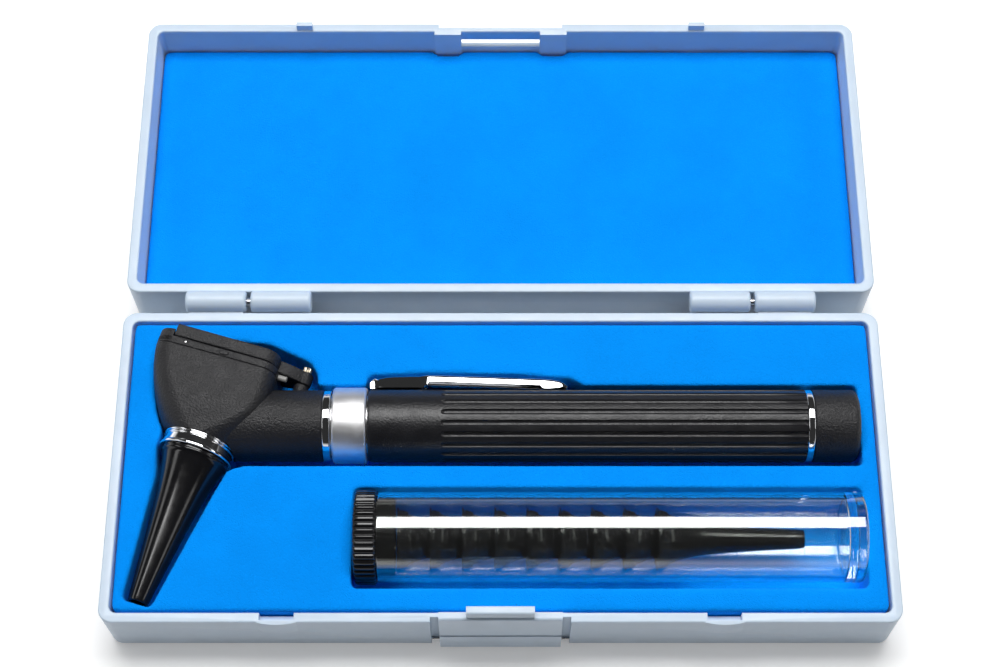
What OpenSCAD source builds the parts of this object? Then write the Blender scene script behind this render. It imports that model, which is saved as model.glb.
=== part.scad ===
// Hinged moulded carry case with foam inserts, holding a pocket otoscope and
// a clear canister of spare specula. Millimetres, +Z up. The origin is at the
// centre of the base shell's underside, +X runs along the hinge line and +Y
// points from the latch to the hinges. The lid lies open, flat behind the base.

/* [Case shells] */
// Length of the case along the hinge line
case_w = 196; // [190:1:210]
// Depth of one shell from latch face to hinge face
case_d = 84; // [82:1:96]
// Height of one shell
shell_h = 19; // [18.5:0.5:24]
// Wall thickness at the rim
wall_t = 2.6; // [2.2:0.1:3]
// Floor thickness
floor_t = 1.8; // [1.4:0.1:2.4]
// Radius of the outer corners in plan
corner_r = 3.6; // [3:0.1:6]
// Radius of the inner corners in plan
inner_r = 1.8; // [1.2:0.1:3]
// Rounding of the outer bottom edge
edge_r = 1.5; // [0.5:0.1:2]
// Rounding of the rim edges
rim_r = 0.45; // [0.2:0.05:0.7]
// How much narrower each side is at the bottom
draft = 0.35; // [0.1:0.05:0.8]
// Gap between the closed rims
rim_gap = 0.2; // [0.1:0.05:0.4]

/* [Hinges] */
// Distance of the hinge axis behind the rear wall
hinge_offset = 3; // [3:0.1:4]
// Diameter of the hinge barrels
barrel_d = 5.8; // [5:0.1:5.8]
// Length of one barrel
barrel_len = 15.8; // [12:0.2:20]
// Rounding of the barrel ends
barrel_r = 0.9; // [0.4:0.1:1.2]
// Gap between the two barrels of a hinge
barrel_gap = 1.1; // [0.6:0.1:2]
// Distance of each hinge from the end of the case
hinge_inset = 32.4; // [24:0.2:45]
// Diameter of the hinge pins
pin_d = 2; // [1.5:0.1:2.4]
// Running clearance on the radius of pins and turning parts
run_fit = 0.08; // [0.05:0.01:0.1]

/* [Latch] */
// Width of the latch recess
recess_w = 34.4; // [32:0.2:40]
// Depth of the latch recess at the rim
recess_depth = 1.4; // [1:0.1:1.6]
// Height of the recess in the lid
lid_recess_h = 10; // [9:0.5:14]
// Width of the latch flap
flap_w = 30; // [24:0.2:31]
// Thickness of the latch flap
flap_t = 2.4; // [2:0.1:2.8]
// Height of the flap above the base rim
flap_rise = 4.2; // [3.6:0.1:5]
// Depth of the step across the flap's face
flap_step = 0.3; // [0.1:0.05:0.5]
// Width of the hook on top of the flap
hook_w = 16.5; // [12:0.5:18]
// Height of the hook
hook_h = 2.9; // [2:0.1:3.4]
// Distance that the hook reaches behind the flap
hook_reach = 0.7; // [0.3:0.1:0.9]
// Height of the latch pivot above the underside
latch_z = 3; // [2.8:0.1:4]
// Diameter of the latch pin
latch_pin_d = 1.2; // [1:0.1:1.4]
// Width of the hook window in the lid
window_w = 22; // [19:0.5:26]
// Spare height of the window over the hook
window_slack = 0.25; // [0.1:0.05:0.5]

/* [Rim locators] */
// Distance of each locator from the middle of the case
locator_x = 54.5; // [30:0.5:75]
// Width of the notch in the base rim
notch_w = 8.5; // [6:0.5:12]
// Reach of the notch into the rim
notch_reach = 2; // [1.4:0.1:2]
// Depth of the notch below the rim
notch_depth = 3.4; // [2.8:0.1:5]
// Width of the lug on the lid rim
lug_w = 4.4; // [3:0.2:5.6]
// Height of the lug above the lid rim
lug_h = 2.2; // [1:0.1:2.4]
// Bulge of the wall outside the notch
bulge = 0.6; // [0.2:0.1:0.8]

/* [Foam inserts] */
// Distance of the base foam below the rim
foam_drop = 0.3; // [0.2:0.1:2]
// Depth of the open tray over the lid foam
tray_depth = 9; // [8.6:0.1:9.6]
// Gap between the foam and the walls
foam_gap = 0.1; // [0.05:0.05:0.3]
// Gap between a pocket and what lies in it
pocket_gap = 0.45; // [0.35:0.05:0.8]
// Gap under what lies in a pocket
seat_gap = 0.3; // [0.2:0.05:0.5]
// Extra room on the latch side of the long pockets
finger_room = 1.7; // [0:0.1:2]

/* [Otoscope handle] */
// Distance of the contents' axes below the rim
axis_drop = 3.15; // [3:0.05:3.6]
// Distance of the handle's axis behind the middle of the case
handle_y = 11.2; // [10.5:0.1:12]
// Distance of the handle's battery end from the end of the case
handle_end_gap = 7.3; // [6:0.1:10]
// Diameter of the handle sleeve
handle_d = 18.5; // [17.8:0.1:18.8]
// Length of the battery cap
cap_len = 11.5; // [8:0.1:14]
// Length of the bright end ring
end_ring_len = 1.9; // [1:0.1:3]
// Length of the plain part of the sleeve
plain_len = 18.4; // [10:0.2:40]
// Number of grooves round the sleeve
groove_n = 20; // [12:1:24]
// Radius of a groove
groove_r = 0.55; // [0.3:0.05:0.7]
// Bore of the battery tube
bore_d = 15.3; // [15:0.1:15.6]
// Bore at the sleeve's end that takes the battery cap's spigot
spigot_d = 16.4; // [16.2:0.1:16.8]
// Length of the battery cap's spigot
spigot_len = 8; // [4:0.5:12]
// Wall thickness of the battery cap's closed end
cap_wall = 2; // [1:0.1:3]
// Diameter of the switch collar
collar_d = 19.5; // [19:0.1:19.8]
// Length of the switch collar
collar_len = 8.7; // [6:0.1:10]
// Gap on each side of the switch collar
collar_gap = 0.35; // [0.2:0.05:0.6]
// Length of the bright neck ring
neck_ring_len = 2.1; // [1:0.1:3]
// Diameter of the neck
neck_d = 18.2; // [17.4:0.1:18.6]
// Outer diameter of the core tube inside collar and neck
core_d = 16.1; // [15.9:0.1:16.4]
// Bore of the core tube
core_bore = 11; // [8:0.5:13]
// Room between the sleeve's inner wall and the first battery
cell_gap = 8.2; // [4:0.1:10]
// Diameter of a battery
battery_d = 14.5; // [14:0.1:14.5]

/* [Pocket clip] */
// Length of the clip
clip_len = 50.5; // [40:0.5:60]
// Width of the clip
clip_w = 6; // [4:0.5:8]
// Thickness of the clip's sheet metal
clip_t = 0.6; // [0.4:0.1:1]
// Height of the clip's back over the sleeve
clip_rise = 4.1; // [3:0.1:4.4]
// Depth of the clip's free flanges
clip_flange = 2.1; // [1.4:0.1:3]
// Length of the root whose flanges reach the sleeve
clip_root = 13.3; // [8:0.1:20]
// Length of the tip that presses on the sleeve
clip_tip = 7; // [5:0.1:10]
// Length of the curl that holds the clip in the sleeve
clip_curl = 2.4; // [1.5:0.1:3]
// How far the clip's back falls towards its tip
clip_fall = 1.1; // [0.4:0.1:1.4]

/* [Otoscope head] */
// Distance of the specula ring's middle from the end of the case
head_gap = 20.6; // [19:0.1:22]
// Position of the open end of the specula ring across the case
head_y = 2.5; // [1.5:0.1:3.5]
// Distance of the bright neck ring from the specula ring's middle
neck_reach = 32.4; // [30:0.1:36]
// Lean of the sight line from the case's depth direction
head_lean = 16.8; // [14:0.2:19]
// Length of the specula ring
ring_len = 4; // [3:0.1:5]
// Radius of the specula ring
ring_r = 9.4; // [9:0.1:9.8]
// Length of the moulded housing along the sight line
housing_len = 20.5; // [18:0.5:22]
// Thickness of the fixed face plate
plate_t = 2; // [1:0.1:3]
// Thickness of the swivelling lens frame
frame_t = 3.4; // [2:0.1:4]
// Gap between the face plate and the lens frame
frame_gap = 0.1; // [0.05:0.05:0.3]
// Half width of the lens end
head_half_w = 16.1; // [14:0.1:16.6]
// Half height of the lens end
head_half_h = 10.5; // [9.6:0.1:10.8]
// Corner radius of the head's section at the lens end
head_corner_r = 4.5; // [2.5:0.1:8]
// Distance that the lens end leans away from the handle
head_shift = 2.85; // [2:0.05:3.2]
// Wall thickness of the housing
housing_t = 1.6; // [1.2:0.1:2]
// Half width of the lens
lens_half_w = 11.5; // [9:0.5:12.5]
// Half height of the lens
lens_half_h = 7.2; // [5:0.2:8]
// Distance of the lens frame's free end from the sight line
frame_edge = 15.6; // [15:0.1:16.4]
// Distance of the lens pivot from the sight line
pivot_t = 19.4; // [18.4:0.1:20]
// Diameter of the pivot screw
pivot_d = 1.8; // [1.2:0.1:2]
// Radius of the post under the lens pivot
post_r = 1.9; // [1.6:0.1:2.4]
// Length of the pivot screw's head
screw_head_len = 1.5; // [0.8:0.1:2]
// Diameter of the insufflation port
port_d = 1.5; // [1.2:0.1:2]
// Length of the insufflation port outside the face plate
port_len = 2.3; // [1.6:0.1:4]
// Height of the insufflation port over the sight line
port_rise = 4; // [0:0.5:6]

/* [Specula] */
// Length of the fitted speculum outside the ring
fitted_len = 39.8; // [30:0.2:40]
// Tip diameter of the fitted speculum
fitted_tip_d = 5.2; // [4:0.1:6]
// Wall thickness of a speculum
speculum_t = 0.7; // [0.5:0.05:0.8]
// Number of spare specula in the canister
spare_n = 9; // [4:1:9]
// Length of a spare speculum
spare_len = 36.6; // [30:0.2:38]
// Distance of the first spare speculum from the canister's mouth
spare_start = 5; // [4.8:0.1:8]
// Room between the last spare speculum and the canister's closed end
spare_end_gap = 9.9; // [1:0.1:12]
// Diameter of a spare speculum's rim
spare_rim_d = 16; // [14.5:0.1:16.4]
// Width of a spare speculum's rim
spare_rim_len = 0.4; // [0.3:0.1:0.8]
// How much a spare speculum's barrel narrows towards its tip
spare_taper = 1.9; // [1.8:0.1:3]
// Wall thickness of a spare speculum
spare_t = 0.33; // [0.25:0.01:0.36]
// Tip diameter of a spare speculum
spare_tip_d = 4.65; // [4:0.05:5]

/* [Canister] */
// Distance of the canister's axis in front of the middle of the case
canister_y = 18.9; // [18.5:0.1:19.4]
// Distance of the canister's closed end from the end of the case
canister_end_gap = 8.1; // [6:0.1:12]
// Length of the canister tube
tube_len = 120.3; // [115:0.1:122]
// Outer diameter of the canister tube
tube_d = 22.6; // [22:0.1:23]
// Wall thickness of the canister tube
tube_t = 1.5; // [1.2:0.1:1.8]
// Thickness of the closed end
tube_end_t = 4.4; // [2:0.1:6]
// Diameter of the canister cap over its ridges
cap_d = 23.6; // [23:0.1:23.6]
// Length of the canister cap
canister_cap_len = 5.8; // [4:0.1:8]
// Number of ridges round the canister cap
ridge_n = 44; // [24:4:60]

/* [Hidden] */
$fn = 64;
lift = 1;            // how far a cutter stands clear of the face that it opens
case_blue = "#cfdfee";
foam_blue = "#008dff";
black_plastic = "#1b1c1e";
rim_z = shell_h;
axis_z = rim_z - axis_drop;
hinge_y = case_d / 2 + hinge_offset;
hinge_z = rim_z + rim_gap / 2;
foam_top = rim_z - foam_drop;
inner_w = case_w - 2 * wall_t;
inner_d = case_d - 2 * wall_t;

// Hinges
hinge_x = case_w / 2 - hinge_inset;
base_barrel_x = hinge_x + barrel_gap / 2;
lid_barrel_x = hinge_x - barrel_gap / 2 - barrel_len;
blind_t = 1;

// Latch
recess_y = case_d / 2 - recess_depth;
latch_back = 0.1;
latch_r = flap_t - latch_back;
latch_y = recess_y + foam_gap + latch_back;
groove_fit = 0.15;
boss_h = latch_z + latch_r + 2;
boss_w = flap_w + 5;
hook_r = 0.6;
bar_t = 1.2;
bar_h = flap_rise - rim_gap - foam_gap;
window_h = hook_h + window_slack + foam_gap;
pad_t = 1.1;
pad_w = recess_w + 2.4;

// Contents, tied to the ends of the case
head_x = head_gap - case_w / 2;
handle_end_x = case_w / 2 - handle_end_gap;
canister_end_x = case_w / 2 - canister_end_gap;
spare_pitch = (tube_len - tube_end_t - spare_start - spare_len - spare_end_gap) / (spare_n - 1);

// Handle stations along X, from the battery end and from the neck
cap_x = handle_end_x - cap_len;
end_ring_x = cap_x - end_ring_len;
neck_ring_x = head_x + neck_reach;
collar_x = neck_ring_x + neck_ring_len + collar_gap;
sleeve_x = collar_x + collar_len + collar_gap;
sleeve_len = end_ring_x - sleeve_x;
rib_len = sleeve_len - plain_len;
bulkhead_t = 2;
core_in_neck = 6.5;
core_in_sleeve = bulkhead_t + 0.5;
contact_gap = 0.3;
cell_play = 0.1;
battery_len = (cap_x - 1 - cell_gap - sleeve_x - core_in_sleeve) / 2;
battery_x = sleeve_x + core_in_sleeve + cell_gap;
spring_x = battery_x + 2 * battery_len + 4 * cell_play;

// Head stations along the sight line, from the ring's open end to the lens
housing_s = ring_len;
plate_s = housing_s + housing_len;
frame_s = plate_s + plate_t + frame_gap;
head_len = frame_s + frame_t;
ear_r = 2.1;
stop_drop = 1.4;
section_n = 36;
ring_n = 10;
neck_root_x = head_x + 4;

// Points on an arc round c from angle a1 to a2.
function arc(c, r, a1, a2, n) = [for (k = [0:n]) let (a = a1 + (a2 - a1) * k / n) c + r * [cos(a), sin(a)]];

// Half of a drafted wall section: x runs outwards to reach at the rim, y is height.
module slab_half(reach, h, lean, edge, rim) {
    a = atan(lean / h);
    foot_x = reach - lean + lean * edge / h - edge / cos(a);
    head_x = reach - lean * rim / h - rim / cos(a);
    polygon(concat([[0, 0]], arc([foot_x, edge], edge, -90, -a, 6), arc([head_x, h - rim], rim, -a, 90, 4), [[0, h]]));
}

// Half of the hollow's section, flared at the top where the rim edge is rounded.
module hollow_half(reach, h, lean, rim) {
    a = atan(lean / h);
    flare_x = reach - lean * rim / h + rim / cos(a);
    polygon(concat([[0, 0], [reach - lean, 0]], arc([flare_x, h - rim], rim, 180 - a, 90, 4),
                   [[flare_x, h + lift], [0, h + lift]]));
}

// A rounded tray form: one half section carried round a rectangle with corner radius r.
// children(0) is the section for reach r, children(1) for half the width, children(2) for half the depth.
module tray_form(w, d, r) {
    for (corner = [[1, 1, 0], [-1, 1, 90], [-1, -1, 180], [1, -1, 270]])
        translate([corner[0] * (w / 2 - r), corner[1] * (d / 2 - r), 0])
            rotate([0, 0, corner[2]]) rotate_extrude(angle = 90) children(0);
    rotate([90, 0, 0]) linear_extrude(d - 2 * r, center = true) {
        children(1);
        mirror([1, 0]) children(1);
    }
    rotate([90, 0, 90]) linear_extrude(w - 2 * r, center = true) {
        children(2);
        mirror([1, 0]) children(2);
    }
}

// One shell of the case, hinge side at +Y, rim up.
module case_half() {
    difference() {
        tray_form(case_w, case_d, corner_r) {
            slab_half(corner_r, shell_h, draft, edge_r, rim_r);
            slab_half(case_w / 2, shell_h, draft, edge_r, rim_r);
            slab_half(case_d / 2, shell_h, draft, edge_r, rim_r);
        }
        translate([0, 0, floor_t]) tray_form(inner_w, inner_d, inner_r) {
            hollow_half(inner_r, shell_h - floor_t, draft, rim_r);
            hollow_half(inner_w / 2, shell_h - floor_t, draft, rim_r);
            hollow_half(inner_d / 2, shell_h - floor_t, draft, rim_r);
        }
    }
}

// A solid hinge barrel from x1 along +X with its web to the rear wall, axis at the hinge.
module barrel(x1) {
    r = barrel_d / 2;
    wall_y = case_d / 2 - wall_t / 2;
    translate([x1, hinge_y, hinge_z]) rotate([0, 90, 0]) rotate_extrude() {
        translate([0, barrel_r]) square([r, barrel_len - 2 * barrel_r]);
        square([r - barrel_r, barrel_len]);
        for (z = [barrel_r, barrel_len - barrel_r]) translate([r - barrel_r, z]) circle(barrel_r);
    }
    translate([x1 + barrel_r, 0, 0]) rotate([90, 0, 90])
        linear_extrude(barrel_len - 2 * barrel_r)
            polygon([[wall_y, hinge_z - 2.6 * r], [hinge_y, hinge_z - r],
                     [hinge_y, rim_z], [wall_y, rim_z]]);
}

// A bore along X through a barrel that starts at x1.
module barrel_bore(x1, d, length) {
    translate([x1, hinge_y, hinge_z]) rotate([0, 90, 0]) cylinder(d = d, h = length);
}

// Rounded ears of the base, one on each side.
module base_barrels() {
    barrel(base_barrel_x);
    barrel(-base_barrel_x - barrel_len);
}

module base_bores() {
    barrel_bore(base_barrel_x - lift, pin_d, barrel_len + 2 * lift);
    barrel_bore(-base_barrel_x - barrel_len - lift, pin_d, barrel_len + 2 * lift);
}

module lid_barrels() {
    barrel(lid_barrel_x);
    barrel(-lid_barrel_x - barrel_len);
}

module lid_bores() {
    bore = pin_d + 2 * run_fit;
    barrel_bore(lid_barrel_x + blind_t, bore, barrel_len);
    barrel_bore(-lid_barrel_x - barrel_len - blind_t, bore, barrel_len);
}

// Plain block between two heights.
module block(x, y, z1, z2) {
    translate([-x / 2, y[0], z1]) cube([x, y[1] - y[0], z2 - z1]);
}

// The rounded bulge outside one rim notch.
module notch_bulge(x) {
    half = notch_w / 2 + 0.5;
    big_r = (half * half + bulge * bulge) / (2 * bulge);
    intersection() {
        translate([x, -case_d / 2 - bulge + big_r, 0]) cylinder(r = big_r, h = rim_z, $fn = 128);
        translate([x - half, -case_d / 2 - bulge, rim_z - 2 * notch_depth])
            cube([2 * half, bulge + wall_t / 4, 2 * notch_depth]);
    }
}

module base_shell() {
    color(case_blue) difference() {
        union() {
            case_half();
            base_barrels();
            for (side = [-1, 1]) notch_bulge(side * locator_x);
            // thicker wall behind the latch pivot
            block(boss_w, [-case_d / 2 + wall_t / 2, -latch_y + latch_r + 1.4], floor_t / 2, boss_h);
        }
        base_bores();
        block(recess_w, [-case_d, -recess_y], -lift, rim_z + lift);
        // groove that the flap's rounded foot turns in
        translate([-flap_w / 2 - foam_gap, -latch_y, latch_z]) rotate([0, 90, 0])
            cylinder(r = latch_r + groove_fit, h = flap_w + 2 * foam_gap);
        translate([-recess_w / 2 - 2, -latch_y, latch_z]) rotate([0, 90, 0])
            cylinder(d = latch_pin_d, h = recess_w + 4);
        for (side = [-1, 1]) translate([side * locator_x - notch_w / 2, -inner_d / 2 - notch_reach, rim_z - notch_depth])
            cube([notch_w, notch_reach + wall_t / 2, notch_depth + lift]);
    }
}

module hinge_pin(side) {
    length = 2 * barrel_len + barrel_gap - 2 * blind_t - 0.2;
    x1 = lid_barrel_x + blind_t + 0.1;
    color("silver") mirror([side > 0 ? 0 : 1, 0, 0]) barrel_bore(x1, pin_d, length);
}

module latch_pin() {
    color("silver") translate([-recess_w / 2 - 2, -latch_y, latch_z]) rotate([0, 90, 0])
        cylinder(d = latch_pin_d, h = recess_w + 4);
}

// Side outline of the flap, x towards the latch side from the pivot, y up.
module flap_outline() {
    front = flap_t - latch_back;
    top = rim_z + flap_rise - latch_z;
    step_y = (rim_z - latch_z) / 2;
    lip_r = 0.7;
    circle(latch_r);
    polygon([[-latch_back, 0], [front, 0], [front, step_y], [front - flap_step, step_y],
             [front - flap_step, top - lip_r], [front - flap_step - lip_r, top], [-latch_back, top]]);
    translate([front - flap_step - lip_r, top - lip_r]) circle(lip_r);
}

module hook_outline() {
    base = rim_z + flap_rise - latch_z;
    back = -latch_back - hook_reach;
    front = flap_t - latch_back - flap_step - 0.6;
    translate([back, base]) square([front - back, hook_h - hook_r]);
    translate([back + hook_r, base]) square([front - back - 2 * hook_r, hook_h]);
    for (x = [back + hook_r, front - hook_r]) translate([x, base + hook_h - hook_r]) circle(hook_r);
    translate([-latch_back, base - 0.5]) square([front + latch_back, 1]);
}

module latch_flap() {
    color(case_blue) translate([0, -latch_y, latch_z]) difference() {
        union() {
            translate([flap_w / 2, 0, 0]) rotate([90, 0, -90]) linear_extrude(flap_w) flap_outline();
            translate([hook_w / 2, 0, 0]) rotate([90, 0, -90]) linear_extrude(hook_w) hook_outline();
        }
        translate([-flap_w, 0, 0]) rotate([0, 90, 0]) cylinder(d = latch_pin_d + 2 * run_fit, h = 2 * flap_w);
    }
}

// The lid as it lies open: the same shell turned end for end behind the hinge axis.
module lid_place() {
    translate([0, 2 * hinge_y, 0]) rotate([0, 0, 180]) children();
}

module lid_shell() {
    color(case_blue) difference() {
        union() {
            lid_place() {
                difference() {
                    union() {
                        case_half();
                        for (side = [-1, 1])
                            translate([side * (window_w / 2 + pad_w / 2) / 2 - (pad_w - window_w) / 4,
                                       -inner_d / 2 - wall_t / 4, floor_t / 2])
                                cube([(pad_w - window_w) / 2, pad_t + wall_t / 4, rim_z - floor_t / 2]);
                        for (side = [-1, 1])
                            translate([side * locator_x - lug_w / 2, -inner_d / 2 - notch_reach + 0.4, rim_z - lug_h])
                                cube([lug_w, notch_reach - 0.8, 2 * lug_h]);
                    }
                    block(recess_w, [-case_d, -recess_y], rim_z - lid_recess_h, rim_z + lift);
                    // the bar is thinner than the wall beside it
                    block(window_w, [-recess_y + bar_t, -inner_d / 2 + 2 * pad_t], rim_z - bar_h - window_h, rim_z + lift);
                    block(window_w, [-case_d, -inner_d / 2 + 2 * pad_t], rim_z - bar_h - window_h, rim_z - bar_h);
                }
            }
            translate([0, 2 * hinge_y, 0]) mirror([0, 1, 0]) lid_barrels();
        }
        translate([0, 2 * hinge_y, 0]) mirror([0, 1, 0]) lid_bores();
    }
}

// The foam's plan, a rounded rectangle made from exact pieces.
module foam_plan() {
    w = inner_w - 2 * draft - 2 * foam_gap;
    d = inner_d - 2 * draft - 2 * foam_gap;
    square([w - 2 * inner_r, d], center = true);
    square([w, d - 2 * inner_r], center = true);
    for (sx = [-1, 1], sy = [-1, 1])
        translate([sx * (w / 2 - inner_r), sy * (d / 2 - inner_r)]) circle(inner_r);
}

// Plan of the head's frame: x across the sight line, y along it.
module head_plan() {
    translate([head_x, head_y]) rotate(-head_lean) children();
}

// Pocket for head, ring and fitted speculum, offset from their own outlines.
module head_pocket() {
    steps = [for (k = [0:0.1:1]) housing_s + k * (head_len - housing_s)];
    left = [for (s = steps) [head_centre(s) - head_half(s) - pocket_gap, s]];
    head_plan() {
        polygon(concat([[ring_r + pocket_gap, -0.5], [-ring_r - pocket_gap, -0.5]], left,
                       [[-head_half_w - head_shift - pocket_gap, head_len + pocket_gap],
                        [-head_half_w / 2, head_len + 1.2], [head_half_w / 2, head_len + 4.4],
                        [pivot_t + 0.8, head_len + 2.4], [pivot_t + 3.2, head_len],
                        [pivot_t + 4.4, frame_s], [pivot_t + 2.8, frame_s - 8]]));
        polygon([[-ring_r - pocket_gap, 0], [-fitted_r(-8) - pocket_gap, -8],
                 [-fitted_tip_d / 2 - 0.8, -fitted_len - 1.2], [fitted_tip_d / 2 + 1.4, -fitted_len - 1.2],
                 [fitted_r(-8) + pocket_gap + 1.4, -8], [ring_r + pocket_gap, 0]]);
    }
}

// Rounded inner corner of the foam between the neck and the fitted speculum.
module corner_relief() {
    r = 9;
    near = handle_y - collar_d / 2 - pocket_gap - finger_room;
    translate([neck_root_x + 0.5, near - r]) difference() {
        square([r, r + 0.5]);
        translate([r, 0]) circle(r);
    }
}

module long_pocket(y, r, x1, x2) {
    translate([x1, y - r - pocket_gap - finger_room])
        square([x2 - x1, 2 * (r + pocket_gap) + finger_room]);
}

// Room for the clip on the hinge side of the handle.
module clip_pocket() {
    top = handle_y + handle_d / 2 + clip_rise + pocket_gap;
    polygon([[sleeve_x - 2, handle_y], [sleeve_x - 0.5, top - 0.6], [sleeve_x + 14, top],
             [sleeve_x + 0.75 * clip_len, top - 0.4], [sleeve_x + clip_len + 1, top - clip_fall - 0.5],
             [sleeve_x + clip_len + 6, handle_y + handle_d / 2]]);
}

module base_foam() {
    r_can = max(tube_d, cap_d) / 2;
    color(foam_blue) difference() {
        translate([0, 0, floor_t]) linear_extrude(foam_top - floor_t) foam_plan();
        block(boss_w + 1, [-case_d / 2, -latch_y + latch_r + 1.4 + foam_gap], 0, boss_h + foam_gap);
        translate([0, 0, axis_z - collar_d / 2 - seat_gap]) linear_extrude(shell_h) {
            long_pocket(handle_y, collar_d / 2, neck_root_x, handle_end_x + pocket_gap);
            clip_pocket();
            corner_relief();
        }
        translate([0, 0, axis_z - head_half_h - seat_gap]) linear_extrude(shell_h) head_pocket();
        translate([0, 0, axis_z - r_can - seat_gap]) linear_extrude(shell_h)
            long_pocket(-canister_y, r_can, canister_end_x - tube_len - canister_cap_len - pocket_gap,
                        canister_end_x + pocket_gap);
    }
}

module lid_foam() {
    color(foam_blue) translate([0, 2 * hinge_y, floor_t]) difference() {
        linear_extrude(rim_z - tray_depth - floor_t) foam_plan();
        for (side = [-1, 1]) translate([side * (window_w / 2 + pad_w / 2) / 2 - (pad_w - window_w) / 4 - foam_gap,
                                        inner_d / 2 - pad_t - foam_gap - draft, -lift])
            cube([(pad_w - window_w) / 2 + 2 * foam_gap, case_d, shell_h]);
    }
}

// Places children on the handle's axis with local Z along +X, starting at x.
module on_handle(x) {
    translate([x, handle_y, axis_z]) rotate([0, 90, 0]) children();
}

// Places children on the canister's axis with local Z along +X, starting at x.
module on_canister(x) {
    translate([x, -canister_y, axis_z]) rotate([0, 90, 0]) children();
}

// A tube from 0 to length.
module tube(d, bore, length) {
    difference() {
        cylinder(d = d, h = length);
        translate([0, 0, -lift]) cylinder(d = bore, h = length + 2 * lift);
    }
}

// Turned ring with both outer edges rounded.
module rounded_ring(d, bore, length, r) {
    difference() {
        rotate_extrude() {
            translate([0, r]) square([d / 2, length - 2 * r]);
            square([d / 2 - r, length]);
            for (z = [r, length - r]) translate([d / 2 - r, z]) circle(r);
        }
        translate([0, 0, -lift]) cylinder(d = bore, h = length + 2 * lift);
    }
}

module handle_sleeve() {
    color(black_plastic) on_handle(sleeve_x) difference() {
        union() {
            cylinder(d = handle_d, h = plain_len);
            translate([0, 0, plain_len]) linear_extrude(rib_len) difference() {
                circle(d = handle_d);
                for (i = [0:groove_n - 1]) rotate(i * 360 / groove_n)
                    translate([handle_d / 2, 0]) circle(groove_r, $fn = 24);
            }
        }
        translate([0, 0, -lift]) cylinder(d = core_bore, h = sleeve_len);
        translate([0, 0, -lift]) cylinder(d = core_d, h = core_in_sleeve - bulkhead_t + lift);
        translate([0, 0, core_in_sleeve]) cylinder(d = bore_d, h = sleeve_len);
        translate([0, 0, sleeve_len + end_ring_len - spigot_len - 0.5]) cylinder(d = spigot_d, h = spigot_len);
    }
}

module end_ring() {
    color("silver") on_handle(end_ring_x) rounded_ring(handle_d + 0.1, spigot_d, end_ring_len, 0.3);
}

module battery_cap() {
    r = 1.6;
    spigot_bore = battery_d + 0.4;
    color(black_plastic) on_handle(cap_x) difference() {
        union() {
            rotate_extrude() {
                translate([0, 0.1]) square([handle_d / 2, cap_len - r - 0.1]);
                square([handle_d / 2 - r, cap_len]);
                translate([handle_d / 2 - r, cap_len - r]) circle(r);
            }
            translate([0, 0, -spigot_len]) cylinder(d = spigot_d - 2 * run_fit, h = spigot_len + lift);
        }
        translate([0, 0, -spigot_len - lift])
            cylinder(d = spigot_bore, h = spigot_len + cap_len - cap_wall + lift);
    }
}

module battery_spring() {
    d = battery_d - 3;
    color("silver") on_handle(spring_x) tube(d, d - 3, handle_end_x - cap_wall - spring_x);
}

module battery(x) {
    nub = 1.2;
    color("goldenrod") on_handle(x) {
        translate([0, 0, nub]) cylinder(d = battery_d, h = battery_len - nub);
        cylinder(d = 5.5, h = nub);
    }
}

module contact_plunger() {
    color("gold") on_handle(neck_ring_x - 4) {
        cylinder(d = 5, h = battery_x - contact_gap - neck_ring_x + 4);
        translate([0, 0, 4]) cylinder(d = core_bore, h = 3);
    }
}

module core_tube() {
    color("silver") on_handle(neck_ring_x - core_in_neck)
        tube(core_d, core_bore, core_in_neck + sleeve_x - neck_ring_x + core_in_sleeve - bulkhead_t);
}

module switch_collar() {
    color("silver") on_handle(collar_x) rounded_ring(collar_d, core_d + 2 * run_fit, collar_len, 0.7);
}

module neck_ring() {
    color("silver") on_handle(neck_ring_x) rounded_ring(neck_d, core_d, neck_ring_len, 0.3);
}

// Back line of the clip from its tip to its root, lowered by drop.
function clip_back(drop) = let (top = handle_d / 2 + clip_rise - drop, tip = top - clip_fall) [
    [clip_len, tip - 1.2], [clip_len - 2.4, tip - 0.4], [clip_len - clip_tip, tip],
    [clip_root, top], [8, top], [4, top - 0.35], [clip_curl, top - 1], [0, top - 1.2]];

// Side outline of the clip, x along the handle, y outwards from the handle's axis.
module clip_side() {
    seat = handle_d / 2 - 1;
    free = handle_d / 2 + clip_rise - clip_flange;
    polygon(concat([[0, seat], [clip_root, seat], [clip_root, free], [clip_len - clip_tip, free - clip_fall],
                    [clip_len - clip_tip, seat], [clip_len - 2, seat], [clip_len, seat + 2.2]],
                   clip_back(0)));
}

module pocket_clip() {
    back = clip_back(clip_t);
    color("silver") difference() {
        translate([sleeve_x + 0.2, handle_y, axis_z - clip_w / 2]) linear_extrude(clip_w) clip_side();
        // the channel is open towards the handle
        translate([sleeve_x + 0.2, handle_y, axis_z - clip_w / 2 + clip_t])
            linear_extrude(clip_w - 2 * clip_t)
                polygon(concat([[clip_curl, 0], [clip_len - 2.4, 0]], [for (i = [1:6]) back[i]]));
        on_handle(sleeve_x - lift) cylinder(d = handle_d, h = clip_len + 10);
    }
}

// How far the housing has widened at station s, from 0 at the ring to 1 at the lens.
function widening(s) = sin(90 * min(1, max(0, (s - housing_s) / (head_len - housing_s))));
// Half width, half height and sideways offset of the head at station s.
function head_half(s) = ring_r + (head_half_w - ring_r) * widening(s);
function head_rise(s) = ring_r + (head_half_h - ring_r) * widening(s);
function head_centre(s) = -head_shift * sqrt(widening(s));
// Corner radius of the section: a full circle at the ring, a rounded rectangle at the lens.
function head_corner(s) = ring_r + (head_corner_r - ring_r) * widening(s);
function signed_power(v, e) = sign(v) * pow(abs(v), e);
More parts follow.
